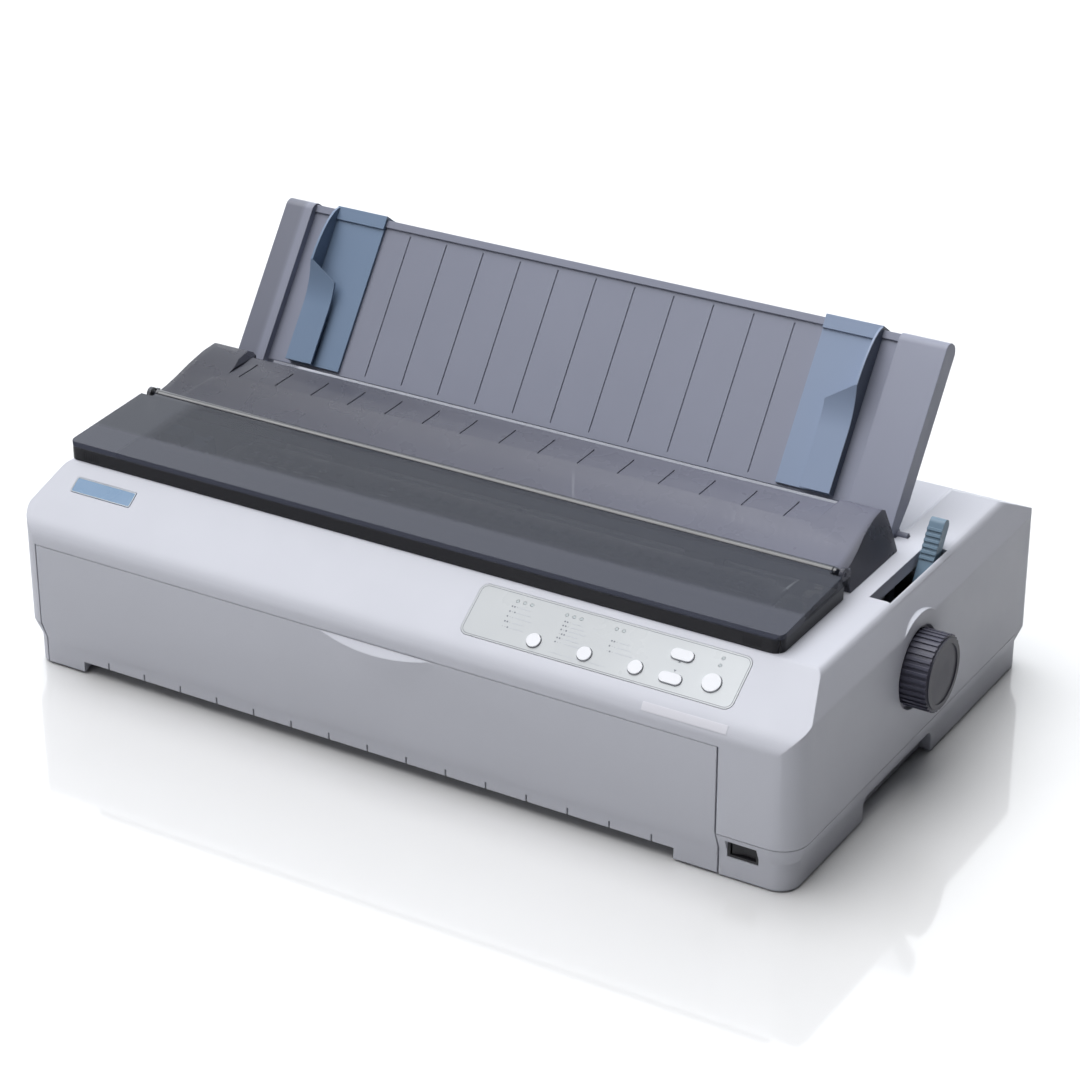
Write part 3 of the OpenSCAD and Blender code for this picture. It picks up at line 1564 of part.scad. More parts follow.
module tension_unit() {
    tab_out = 2.5;
    fin_pitch = 15;
    y0 = platen_y - 20;
    y1 = platen_y + 14;
    color(smoke_col) {
        // Tabs that rest on the side frames
        for (x = [frame_l - frame_t - tab_out, frame_r - 8])
            block(x, y0 + 4, tension_z, x + tab_out + frame_t + 8, y1 - 4, tension_z + 3);
        // Bars along the platen
        for (y = [y0, y1 - 5]) block(frame_l + 6, y, tension_z, frame_r - 6, y + 5, tension_z + 5);
        block(frame_l + 6, y0 + 14, tension_z + 1, frame_r - 6, y0 + 17, tension_z + 4);
        // Fins across the bars
        for (x = [frame_l + 9:fin_pitch:frame_r - 8]) along_x(x, x + 1.4) translate([0, tension_z]) polygon([
            [y0 + 2, 1], [y0 + 2, 5], [y0 + 12, 8], [y0 + 19, 8], [y1 - 1, 5], [y1 - 1, 1]
        ]);
    }
}

// Head gap lever on the outside of the left frame
module gap_lever() {
    x = frame_l - frame_t - 6;
    arm_t = 4;
    handle_w = 26;
    color(blue_col) difference() {
        union() {
            rod_x(x, x + arm_t, gap_y, gap_z, gap_pin_d + 8);
            along_x(x, x + arm_t) translate([gap_y, gap_z]) polygon([[-6, 0], [6, 0], [3, 40], [-5, 40]]);
            block(x - handle_w, gap_y - 22, gap_z + 32, x + arm_t, gap_y + 3, gap_z + 38);
            block(x - handle_w, gap_y - 22, gap_z + 36, x - 8, gap_y - 6, gap_z + 47);
        }
        rod_x(x - cut, x + arm_t + cut, gap_y, gap_z, gap_pin_d + 2 * run);
    }
}

// ---- electrics ----

plate_y = case_d - 8;
supply_x1 = inlet_x0 - 10;
supply_x0 = supply_x1 - 110;
supply_y1 = case_d - 13;
supply_y0 = supply_y1 - 80;
supply_h = 56;
board_x0 = plate_x0 + 28;
board_x1 = supply_x0 - 30;
board_y0 = beam_y + 12;
board_y1 = plate_y - 11;
board_z = floor_z + 6;

// Chips and heat sink on the board: left, front, width, depth, height
board_parts = [
    [42, 24, 30, 30, 3.5],
    [102, 32, 28, 12, 3.5],
    [162, 24, 40, 38, 18.5]
];

module main_board() {
    top = board_z + board_t - eps;
    color(board_col) {
        block(board_x0, board_y0, board_z, board_x1, board_y1, board_z + board_t);
        for (x = [board_x0 + 10, board_x1 - 10], y = [board_y0 + 8, board_y1 - 10])
            translate([x, y, floor_z]) cylinder(h = board_z - floor_z, d = post_d + 2);
        for (p = board_parts) translate([board_x0 + p[0], board_y0 + p[1], top]) cube([p[2], p[3], p[4]]);
        // Capacitors in a row
        for (i = [0:2]) translate([board_x1 - 60 + i * 20, board_y0 + 52, top]) cylinder(h = 16, d = 12);
    }
}

module power_supply() {
    slot_pitch = 11;
    slot_w = 5;
    slot_d = 8;
    color(steel_col) difference() {
        block(supply_x0, supply_y0, floor_z, supply_x1, supply_y1, floor_z + supply_h);
        for (i = [0:8]) translate([supply_x0 + slot_d + i * slot_pitch, supply_y0 - cut, floor_z + 10])
            cube([slot_w, slot_d + cut, supply_h - 20]);
    }
}

sheet_t = 1.5;
port_z = 52;
parallel_x = plate_x0 + 14;
parallel_w = 62;
parallel_h = 14;
usb_x = plate_x0 + 94;
usb_w = 12.6;
usb_h = 11.6;
port_gap = 0.2;

// Metal plate that carries the interface connectors, on two folded legs
module connector_plate() {
    leg_w = 20;
    leg_y = plate_y - 8;
    leg_top = seam_z + 6;
    color(steel_col) difference() {
        union() {
            block(plate_x0, plate_y, upper_z, plate_x1, plate_y + sheet_t, plate_z1);
            for (x = [plate_x0 + 6, plate_x1 - 6 - leg_w]) {
                block(x, leg_y, floor_z, x + leg_w, leg_y + sheet_t, leg_top);
                block(x, leg_y, leg_top - sheet_t, x + leg_w, plate_y + sheet_t, leg_top);
            }
        }
        translate([parallel_x, plate_y - cut, port_z]) cube([parallel_w, 4, parallel_h]);
        translate([usb_x, plate_y - cut, port_z]) cube([usb_w, 4, usb_h]);
    }
}

// A connector shell w wide and h high, its mouth from mouth_y with walls rim thick
module port(x, w, h, y0, y1, rim, mouth_y) {
    difference() {
        block(x + port_gap, y0, port_z + port_gap, x + w - port_gap, y1, port_z + h - port_gap);
        block(x + rim, mouth_y, port_z + rim, x + w - rim, case_d, port_z + h - rim);
    }
}

module connectors() {
    color(steel_col) {
        port(parallel_x, parallel_w, parallel_h, case_d - 22, case_d - 1.5, 3, case_d - 12);
        block(parallel_x + 7, case_d - 13, port_z + 6, parallel_x + 55, case_d - 3, port_z + 8);
        port(usb_x, usb_w, usb_h, case_d - 20, case_d - 4, 1.2, case_d - 14);
        block(usb_x + 3.6, case_d - 15, port_z + 4, usb_x + 9, case_d - 5, port_z + 7.6);
        // Blank cover of the option slot
        block(plate_x1 - 62, plate_y + sheet_t, 48, plate_x1 - 10, plate_y + 2 * sheet_t, 84);
    }
}

// Mains inlet in the rear wall
module mains_inlet() {
    inlet_gap = 0.3;
    color(dark_col) difference() {
        block(inlet_x0 + inlet_gap, case_d - 19, inlet_z0 + inlet_gap,
            inlet_x1 - inlet_gap, case_d - 0.6, inlet_z0 + inlet_h - 2 * inlet_gap);
        block(inlet_x0 + 3, case_d - 16, inlet_z0 + 7, inlet_x1 - 3, case_d + cut, inlet_z0 + 27);
    }
}

// ---- placing ----

// Moves the zero to the middle of the object's box, on the table
module put() {
    translate([-knob_proud / 2, -(case_d - pull_proud) / 2]) children();
}

put() lower_case();
put() upper_case();
put() rubber_feet();
put() case_screws();
put() front_flap();
put() control_panel();
put() button_font();
put() button_pitch();
put() button_bin();
put() button_load();
put() button_feed();
put() button_pause();
put() panel_lamps();
put() panel_board();
put() switch_body();
put() switch_rocker();
put() badge_plate();
put() window_cover();
put() hinge_bar();
put() top_cover();
put() paper_guide();
put() edge_guide_left();
put() edge_guide_right();
put() release_lever();
put() release_shaft();
put() platen_knob();
put() platen_roller();
put() platen_shaft();
put() platen_gear();
put() platen_bushes();
put() frame_left();
put() frame_right();
put() shaft_bracket();
put() front_rail();
put() carriage_rod();
put() carriage();
put() print_head();
put() ribbon_cartridge();
put() ribbon();
put() ribbon_knob();
put() timing_belt();
put() carriage_motor();
put() drive_pulley();
put() idler_pulley();
put() feed_motor();
put() feed_pinion();
put() reduction_gear();
put() tractor_idler();
put() tractor_gear();
put() tractor_shaft();
put() tractor_rod();
put() tractor_left();
put() tractor_right();
put() tension_unit();
put() gap_lever();
put() main_board();
put() power_supply();
put() connector_plate();
put() connectors();
put() mains_inlet();
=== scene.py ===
import json
import math

import bpy
import bmesh
from mathutils import Matrix, Vector


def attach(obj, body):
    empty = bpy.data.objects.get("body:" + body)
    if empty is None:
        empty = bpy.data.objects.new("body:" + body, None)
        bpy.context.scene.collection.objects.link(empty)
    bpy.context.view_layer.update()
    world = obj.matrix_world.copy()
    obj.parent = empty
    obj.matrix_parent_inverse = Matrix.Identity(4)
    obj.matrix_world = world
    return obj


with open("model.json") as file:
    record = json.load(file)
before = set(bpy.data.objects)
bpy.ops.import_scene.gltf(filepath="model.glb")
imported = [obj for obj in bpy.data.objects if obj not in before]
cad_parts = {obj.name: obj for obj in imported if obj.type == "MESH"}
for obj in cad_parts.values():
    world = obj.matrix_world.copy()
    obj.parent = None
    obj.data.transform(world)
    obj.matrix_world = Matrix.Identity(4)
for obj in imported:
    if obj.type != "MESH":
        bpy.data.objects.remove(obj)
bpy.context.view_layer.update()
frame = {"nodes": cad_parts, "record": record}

nodes = frame["nodes"]
scene = bpy.context.scene
MM = 0.001

# ---------------------------------------------------------------- frame of the case
# Case millimetres (x from the case middle, y from the front face, z from the table) to the row frame
SHIFT = Vector((-9.5, -185.0, 0.0))
SLOPE_ANGLE = math.radians(34.6)
# Rounding between the front face and the slope
ROUND_R = 21.0
ROUND_Z = 98.0
SLOPE_Z = ROUND_Z + ROUND_R * math.tan((math.pi / 2 - SLOPE_ANGLE) / 2)


def case_point(x, y, z):
    return (Vector((x, y, z)) + SHIFT) * MM


def slope_point(x, s, h):
    """A point s up the front slope and h out of it."""
    c, n = math.cos(SLOPE_ANGLE), math.sin(SLOPE_ANGLE)
    return case_point(x, s * c - h * n, SLOPE_Z + s * n + h * c)


def band_point(x, angle, h):
    """A point on the rounding between the front face and the slope, h out of it."""
    a = math.radians(angle)
    r = ROUND_R + h
    return case_point(x, ROUND_R + r * math.cos(a), ROUND_Z + r * math.sin(a))


# ---------------------------------------------------------------- materials
# Noise scales of the slow change of colour and of the patches of gloss
MOTTLE_SCALE = 9.0
GLOSS_SCALE = 38.0
# How far the roughness strays below and above its middle
GLOSS_DOWN = 0.05
GLOSS_UP = 0.06
# Cosine of the turn between the soft and the true normal where edge wear and painted edge highlight start,
# and where they are full
WEAR_AND_HIGHLIGHT_START = 0.98
WEAR_AND_HIGHLIGHT_FULL = 0.75


class Shade:
    """A node material built up step by step round one Principled shader."""

    def __init__(self, name):
        self.mat = bpy.data.materials.new(name)
        self.mat.use_nodes = True
        self.tree = self.mat.node_tree
        self.tree.nodes.clear()
        out = self.node("ShaderNodeOutputMaterial")
        self.bsdf = self.node("ShaderNodeBsdfPrincipled")
        self.link(self.bsdf, "BSDF", out, "Surface")
        self.coord = self.node("ShaderNodeTexCoord")

    def node(self, kind, **props):
        n = self.tree.nodes.new(kind)
        for k, v in props.items():
            setattr(n, k, v)
        return n

    def link(self, a, out, b, into):
        self.tree.links.new(a.outputs[out], b.inputs[into])

    def set(self, **values):
        for k, v in values.items():
            self.bsdf.inputs[k.replace("_", " ")].default_value = v

    def noise(self, scale, detail, stretch=None):
        n = self.node("ShaderNodeTexNoise")
        n.inputs["Scale"].default_value = scale
        n.inputs["Detail"].default_value = detail
        if stretch:
            m = self.node("ShaderNodeMapping")
            m.inputs["Scale"].default_value = stretch
            self.link(self.coord, "Object", m, "Vector")
            self.link(m, "Vector", n, "Vector")
        else:
            self.link(self.coord, "Object", n, "Vector")
        return n

    def places(self):
        """Where a point lies in the piece's box, from 0 to 1 along each axis."""
        split = self.node("ShaderNodeSeparateXYZ")
        self.link(self.coord, "Generated", split, 0)
        return split

    def ramp(self, source, out, low, high, a, b):
        """Maps source from low..high to a..b."""
        m = self.node("ShaderNodeMapRange")
        for k, v in (("From Min", low), ("From Max", high), ("To Min", a), ("To Max", b)):
            m.inputs[k].default_value = v
        self.link(source, out, m, "Value")
        return m

    def most(self, a, b):
        """The larger of the first outputs of two nodes."""
        m = self.node("ShaderNodeMath", operation="MAXIMUM")
        self.link(a, 0, m, 0)
        self.link(b, 0, m, 1)
        return m

    def mix(self, fac, a, b):
        """Colour a turning to colour b by fac; either may be another node's colour."""
        m = self.node("ShaderNodeMix", data_type="RGBA")
        self.tree.links.new(fac, m.inputs["Factor"])
        for colour, slot in ((a, 6), (b, 7)):
            if isinstance(colour, tuple):
                m.inputs[slot].default_value = (*colour, 1.0)
            else:
                self.tree.links.new(colour, m.inputs[slot])
        return m.outputs[2]

    def paint_light_across(self, shade, painted_light_stops):
        """Paints light and shade on a colour from end to end of the piece: stops of place along X and
        strength.
        """
        ramp = self.node("ShaderNodeValToRGB")
        marks = ramp.color_ramp.elements
        while len(marks) < len(painted_light_stops):
            marks.new(0.5)
        for mark, (place, strength) in zip(marks, painted_light_stops):
            mark.position = place
            mark.color = (strength, strength, strength, 1.0)
        self.link(self.places(), "X", ramp, "Fac")
        m = self.node("ShaderNodeMix", data_type="RGBA", blend_type="MULTIPLY")
        m.inputs["Factor"].default_value = 1.0
        self.tree.links.new(shade, m.inputs[6])
        self.tree.links.new(ramp.outputs["Color"], m.inputs[7])
        return m.outputs[2]

    def finish(self, colour, rough, grain, grain_h, mottle, edge, wear_and_highlight, stretch=None, edge_highlight=None, painted_light_stops=None):
        """Colour with slow mottling, grain in the bump, uneven roughness, and soft edges lightened by wear; a
        given edge highlight colour paints a highlight on the edges instead.

        grain is the scale of the fine noise, grain_h its depth, edge the radius of the softening."""
        slow = self.noise(MOTTLE_SCALE, 4.0)
        dark = tuple(c * (1 - mottle) for c in colour)
        light = tuple(min(1.0, c * (1 + mottle)) for c in colour)
        shade = self.mix(self.ramp(slow, "Fac", 0.3, 0.7, 0.0, 1.0).outputs[0], dark, light)
        fine = self.noise(grain, 2.0, stretch)
        bump = self.node("ShaderNodeBump")
        bump.inputs["Strength"].default_value = 1.0
        bump.inputs["Distance"].default_value = grain_h
        self.link(fine, "Fac", bump, "Height")
        if edge:
            soft = self.node("ShaderNodeBevel", samples=4)
            soft.inputs["Radius"].default_value = edge
            self.link(soft, "Normal", bump, "Normal")
            # Lightened edges: wear on most pieces, a painted highlight where an edge highlight colour is
            # given
            if wear_and_highlight:
                geo = self.node("ShaderNodeNewGeometry")
                dot = self.node("ShaderNodeVectorMath", operation="DOT_PRODUCT")
                self.link(soft, "Normal", dot, 0)
                self.link(geo, "Normal", dot, 1)
                fac = self.ramp(dot, "Value", WEAR_AND_HIGHLIGHT_START, WEAR_AND_HIGHLIGHT_FULL, 0.0, wear_and_highlight)
                pale = edge_highlight or tuple(min(1.0, c * 1.25 + 0.03) for c in colour)
                shade = self.mix(fac.outputs[0], shade, pale)
        # Painted light and shade from end to end of the piece
        if painted_light_stops:
            shade = self.paint_light_across(shade, painted_light_stops)
        self.link(bump, "Normal", self.bsdf, "Normal")
        self.tree.links.new(shade, self.bsdf.inputs["Base Color"])
        patch = self.noise(GLOSS_SCALE, 3.0)
        gloss = self.ramp(patch, "Fac", 0.3, 0.7, rough - GLOSS_DOWN, rough + GLOSS_UP)
        self.link(gloss, "Result", self.bsdf, "Roughness")
        return self


def plastic(name, colour, rough=0.42, grain=1500.0, grain_h=0.00004, mottle=0.02, edge=0.0007, wear_and_highlight=0.25,
            spec=0.4, painted_light_stops=None):
    s = Shade(name)
    s.set(IOR=1.48, Specular_IOR_Level=spec)
    return s.finish(colour, rough, grain, grain_h, mottle, edge, wear_and_highlight, painted_light_stops=painted_light_stops).mat


def film(name, colour, rough, edge, wear_and_highlight=0.2, mottle=0.01, grain=2600.0, painted_light_stops=None):
    """Smooth printed or lacquered plastic with hardly any grain."""
    return plastic(name, colour, rough, grain, 0.00001, mottle, edge, wear_and_highlight, painted_light_stops=painted_light_stops)


def smoky(name, colour, alpha, rough, spec, wear_and_highlight, edge_highlight, painted_light_stops=None, dress=None):
    """Tinted see-through plastic; dress is called with the finished shade and its alpha."""
    s = Shade(name)
    s.set(IOR=1.5, Specular_IOR_Level=spec, Alpha=alpha)
    s.finish(colour, rough, 2800.0, 0.0000008, 0.03, 0.0009, wear_and_highlight, edge_highlight=edge_highlight, painted_light_stops=painted_light_stops)
    if dress:
        dress(s, alpha)
    s.mat.surface_render_method = "BLENDED"
    return s.mat


# Window: shares of its depth over which the clouded front clears
CLOUD_FROM = 0.33
CLOUD_TO = 0.38
CLOUD_ALPHA = 0.86
CLOUD_COLOUR = (0.062, 0.066, 0.092)
# Shares of its height over which the skirt ends; the skirt is painted shade, near black and nearly opaque
SKIRT_FROM = 0.50
SKIRT_TO = 0.56
SKIRT_ALPHA = 0.97
SKIRT_SHADE_COLOUR = (0.011, 0.011, 0.015)
# Shares of its width over which the clouded left end clears
LEFT_FROM = 0.07
LEFT_TO = 0.13
LEFT_ALPHA = 0.93


def window_zones(s, alpha):
    """Clouds the window's front and left end, and paints its skirt dark as painted shade, nearly opaque."""
    place = s.places()
    cloud = s.ramp(place, "Y", CLOUD_FROM, CLOUD_TO, CLOUD_ALPHA, alpha)
    skirt = s.ramp(place, "Z", SKIRT_FROM, SKIRT_TO, SKIRT_ALPHA, 0.0)
    left = s.ramp(place, "X", LEFT_FROM, LEFT_TO, LEFT_ALPHA, 0.0)
    s.link(s.most(cloud, s.most(skirt, left)), 0, s.bsdf, "Alpha")
    milky = s.ramp(place, "Y", CLOUD_FROM, CLOUD_TO, 0.5, 0.0)
    plain = s.bsdf.inputs["Base Color"].links[0].from_socket
    pale = s.mix(milky.outputs[0], plain, CLOUD_COLOUR)
    # Painted shade: the skirt turns near black
    skirt_shaded_colour = s.mix(skirt.outputs[0], pale, SKIRT_SHADE_COLOUR)
    s.tree.links.new(skirt_shaded_colour, s.bsdf.inputs["Base Color"])


def metal(name, colour, rough, stretch=(1.0, 60.0, 60.0)):
    """Bare metal, brushed along X unless stretch says otherwise."""
    s = Shade(name)
    s.set(Metallic=1.0)
    return s.finish(colour, rough, 900.0, 0.000012, 0.06, 0.0004, 0.1, stretch).mat


# One material for each material slot of the record
MATS = {
    "case_plastic": plastic("case_moulding", (0.505, 0.515, 0.572), rough=0.46, grain=1400.0, grain_h=0.00005,
                            mottle=0.012, edge=0.0012, wear_and_highlight=0.3),
    # Panel: painted sheen, lighter towards the right end
    "panel_plastic": film("panel_film", (0.455, 0.475, 0.495), rough=0.30, edge=0.0004, mottle=0.008,
                          painted_light_stops=((0.0, 0.94), (0.45, 0.94), (1.0, 1.15))),
    "button_plastic": plastic("button_cap", (0.66, 0.67, 0.71), rough=0.35, grain=2200.0, grain_h=0.00002,
                              mottle=0.01, edge=0.0008, wear_and_highlight=0.2),
    "lamp_plastic": film("lamp_lens", (0.36, 0.40, 0.42), rough=0.15, edge=0.0003, wear_and_highlight=0.0, mottle=0.05,
                         grain=2200.0),
    "circuit_board": plastic("circuit_board", (0.05, 0.16, 0.09), rough=0.35, grain=700.0, mottle=0.15,
                             edge=0.0003, wear_and_highlight=0.2),
    "black_plastic": plastic("black_moulding", (0.022, 0.022, 0.027), rough=0.38, grain=1400.0,
                             grain_h=0.00003, mottle=0.05, edge=0.0006, wear_and_highlight=0.2),
    "blue_plastic": plastic("blue_moulding", (0.16, 0.225, 0.335), rough=0.40, grain_h=0.00003, edge=0.0006,
                            wear_and_highlight=0.3),
    # Window: painted shade, darker towards the left end; its edges carry a painted highlight
    "smoky_clear": smoky("smoky_window", (0.036, 0.041, 0.060), alpha=0.58, rough=0.16, spec=0.22, wear_and_highlight=0.6,
                         edge_highlight=(0.20, 0.21, 0.26), painted_light_stops=((0.0, 0.7), (1.0, 1.0)), dress=window_zones),
    # Tension unit: its edges are painted near white as painted highlights
    "dark_clear": smoky("tension_clear", (0.13, 0.145, 0.16), alpha=0.40, rough=0.12, spec=0.8, wear_and_highlight=1.0,
                        edge_highlight=(0.85, 0.88, 0.9)),
    # Paper guide: painted shade, darker on the left wing and at the right end
    "guide_plastic": plastic("guide_moulding", (0.248, 0.262, 0.335), rough=0.40, edge=0.0008, wear_and_highlight=0.3,
                             painted_light_stops=((0.0, 0.62), (0.042, 0.62), (0.045, 0.90), (0.985, 1.0), (0.99, 0.66))),
    "steel": metal("plated_sheet", (0.55, 0.56, 0.58), rough=0.32),
    "chrome_rod": metal("ground_rod", (0.70, 0.70, 0.72), rough=0.12),
    "cast_metal": metal("cast_body", (0.30, 0.31, 0.33), rough=0.45, stretch=(1.0, 1.0, 1.0)),
    "brass": metal("turned_brass", (0.62, 0.45, 0.18), rough=0.25),
    "gear_plastic": plastic("natural_acetal", (0.70, 0.68, 0.61), rough=0.40),
    "ribbon_cloth": plastic("inked_cloth", (0.012, 0.012, 0.015), rough=0.8, grain=3200.0, grain_h=0.0001,
                            mottle=0.1, edge=0.0, wear_and_highlight=0.0),
    "rubber": plastic("black_rubber", (0.020, 0.020, 0.022), rough=0.62, grain=900.0, grain_h=0.00006,
                      mottle=0.08, edge=0.0005, wear_and_highlight=0.1),
}
# Nodes with a material of their own
OWN = {
    # Right edge guide: painted shade on its right side, which faces away from the light
    "edge_guide_right": plastic("blue_lip", (0.24, 0.30, 0.425), rough=0.40, grain_h=0.00003, edge=0.0006,
                                wear_and_highlight=0.3, painted_light_stops=((0.0, 1.0), (0.985, 1.0), (0.995, 0.35), (1.0, 0.35))),
    "badge_plate": film("badge_face", (0.12, 0.22, 0.36), rough=0.26, edge=0.0003, mottle=0.02),
    # Knob: painted shade on its right face, painted light on the rest
    "platen_knob": plastic("knob_moulding", (0.055, 0.055, 0.080), mottle=0.03, edge=0.0006, wear_and_highlight=0.35,
                           painted_light_stops=((0.0, 1.2), (0.93, 1.2), (0.97, 0.7), (1.0, 0.7))),
    # Top cover: painted light and shade, darker at the left and lighter towards the right, painted shade on
    # the right end cap, and a painted highlight on its edges
    "top_cover": smoky("smoky_top", (0.15, 0.155, 0.205), alpha=0.80, rough=0.28, spec=0.25, wear_and_highlight=0.4,
                       edge_highlight=(0.24, 0.25, 0.30),
                       painted_light_stops=((0.0, 0.34), (0.5, 0.70), (0.978, 1.08), (0.986, 0.45), (1.0, 0.45))),
    "hinge_bar": plastic("smoky_bar", (0.012, 0.013, 0.02), rough=0.17, grain=2600.0, grain_h=0.00001,
                         edge=0.0004, wear_and_highlight=0.0, spec=0.9),
    "release_lever": plastic("lever_moulding", (0.142, 0.215, 0.29), rough=0.38, grain_h=0.00003,
                             edge=0.0006, wear_and_highlight=0.35),
}
for row in frame["record"]["subparts"]:
    materials = nodes[row["node"]].data.materials
    mat = OWN.get(row["node"], MATS[row["material_slot"]])
    if materials:
        for k in range(len(materials)):
            materials[k] = mat
    else:
        materials.append(mat)

# ---------------------------------------------------------------- smooth roundings
# Nodes whose faceted roundings are shaded as curves, and the largest turn that counts as one
ROUNDED = ("upper_case", "lower_case", "front_flap", "window_cover", "top_cover", "paper_guide",
           "edge_guide_left", "edge_guide_right", "platen_knob", "release_lever")
LARGEST_TURN = math.radians(24.0)
WELD = 0.000001


def smoothing_group():
    """A modifier group that shades gentle turns smoothly; the shape stays as it is."""
    group = bpy.data.node_groups.new("smooth_turns", "GeometryNodeTree")
    for way in ("INPUT", "OUTPUT"):
        group.interface.new_socket("Geometry", in_out=way, socket_type="NodeSocketGeometry")
    into = group.nodes.new("NodeGroupInput")
    out = group.nodes.new("NodeGroupOutput")
    weld = group.nodes.new("GeometryNodeMergeByDistance")
    weld.inputs["Distance"].default_value = WELD
    angle = group.nodes.new("GeometryNodeInputMeshEdgeAngle")
    sharp = group.nodes.new("FunctionNodeCompare")
    sharp.operation = "GREATER_THAN"
    sharp.inputs[1].default_value = LARGEST_TURN
    shade = group.nodes.new("GeometryNodeSetMeshNormal")
    shade.mode = "SHARPNESS"
    shade.inputs["Remove Custom"].default_value = True
    shade.inputs["Face Sharpness"].default_value = False
    group.links.new(into.outputs[0], weld.inputs["Geometry"])
    group.links.new(weld.outputs[0], shade.inputs[0])
    group.links.new(angle.outputs["Unsigned Angle"], sharp.inputs[0])
    group.links.new(sharp.outputs[0], shade.inputs["Edge Sharpness"])
    group.links.new(shade.outputs[0], out.inputs[0])
    return group


smooth_turns = smoothing_group()
for name in ROUNDED:
    nodes[name].modifiers.new("smooth_turns", "NODES").node_group = smooth_turns


# ---------------------------------------------------------------- mesh helpers
def piece(name, verts, faces, mat, bevel=0.0):
    """A piece of the case's surface."""
    mesh = bpy.data.meshes.new(name)
    mesh.from_pydata([tuple(v) for v in verts], [], faces)
    bm = bmesh.new()
    bm.from_mesh(mesh)
    bmesh.ops.recalc_face_normals(bm, faces=bm.faces)
    bm.to_mesh(mesh)
    bm.free()
    mesh.materials.append(mat)
    o = bpy.data.objects.new(name, mesh)
    scene.collection.objects.link(o)
    if bevel:
        m = o.modifiers.new("round", "BEVEL")
        m.width = bevel
        m.segments = 2
        m.limit_method = "ANGLE"
    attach(o, "case")


class Sheet:
    """Gathers thin plates on the front slope into one mesh."""

    def __init__(self):
        self.verts = []
        self.faces = []

    def outline(self, points, h0, h1):
        """A plate with that outline, from h0 to h1 above the slope."""
        n = len(points)
        base = len(self.verts)
        for h in (h0, h1):
            self.verts += [slope_point(a, b, h) for a, b in points]
        self.faces.append([base + k for k in range(n)][::-1])
        self.faces.append([base + n + k for k in range(n)])
        for k in range(n):
            q = (k + 1) % n
            self.faces.append([base + k, base + q, base + n + q, base + n + k])

    def ring(self, outer, inner, h0, h1):
        """A frame between two outlines with as many points."""
        n = len(outer)
        base = len(self.verts)
        for h in (h0, h1):
            for line in (outer, inner):
                self.verts += [slope_point(a, b, h) for a, b in line]
        lo, li, ho, hi = (base + k * n for k in range(4))
        for k in range(n):
            q = (k + 1) % n
            self.faces.append([ho + k, ho + q, hi + q, hi + k])
            self.faces.append([lo + q, lo + k, li + k, li + q])
            self.faces.append([lo + k, lo + q, ho + q, ho + k])
            self.faces.append([li + q, li + k, hi + k, hi + q])

    def dot(self, a, b, r, h0, h1, n=12):
        step = 2 * math.pi / n
        ring = [(a + r * math.cos(k * step), b + r * math.sin(k * step)) for k in range(n)]
        self.outline(ring, h0, h1)

    def bar(self, a, b, w, t, h0, h1):
        """A bar w long from a, t high about b."""
        self.outline([(a, b - t / 2), (a + w, b - t / 2), (a + w, b + t / 2), (a, b + t / 2)], h0, h1)


def round_rect(x0, y0, x1, y1, r, n=6):
    points = []
    corners = ((x1 - r, y1 - r, 0), (x0 + r, y1 - r, 90), (x0 + r, y0 + r, 180), (x1 - r, y0 + r, 270))
    for cx, cy, start in corners:
        for k in range(n + 1):
            a = math.radians(start + 90 * k / n)
            points.append((cx + r * math.cos(a), cy + r * math.sin(a)))
    return points


def border(x0, y0, x1, y1, r, line, inner_r, h0, h1):
    """A thin line just inside a rectangle with round corners."""
    sheet = Sheet()
    inner = round_rect(x0 + line, y0 + line, x1 - line, y1 - line, inner_r)
    sheet.ring(round_rect(x0, y0, x1, y1, r), inner, h0, h1)
    return sheet


# ---------------------------------------------------------------- control panel
INK = film("panel_ink", (0.16, 0.17, 0.20), rough=0.5, edge=0.0, wear_and_highlight=0.0, mottle=0.05)
SOFT_INK = film("panel_ink_light", (0.42, 0.44, 0.48), rough=0.5, edge=0.0, wear_and_highlight=0.0, mottle=0.05)
# The panel plate stands this far out of the slope; the marks start in it and end above it
PANEL_UP = 0.3
MARK_LOW = PANEL_UP - 0.02
MARK_TOP = PANEL_UP + 0.06
# Legends: left end, top row, spacing of rows, and which of the three dots of each row are full
LEGENDS = (
    (80.6, 44.0, 3.85, ("110", "101", "100", "110", "001")),
    (120.9, 43.7, 3.1, ("110", "110", "101", "011", "110", "100")),
    (157.9, 39.6, 3.8, ("110", "100", "010")),
)
DOT_STEP = 1.9
FULL_R = 0.62
FAINT_R = 0.22
BAR_X = 5.6
BAR_LEAST = 8.0
BAR_STEP = 2.2
BAR_T = 0.5
# Lines under the first two legends: left end, height, length, thickness
RULES = ((119.8, 20.2, 24.0, 0.35), (150.0, 20.6, 12.0, 0.35))
# Arrows between the two long buttons: middle, height, 1 for up and -1 for down
ARROWS = ((208.1, 38.4, 1), (207.8, 31.6, -1))

edge_line = border(54.0, 16.6, 253.8, 53.9, 5.0, 0.35, 4.65, MARK_LOW, MARK_TOP)
piece("panel_outline", edge_line.verts, edge_line.faces, INK)

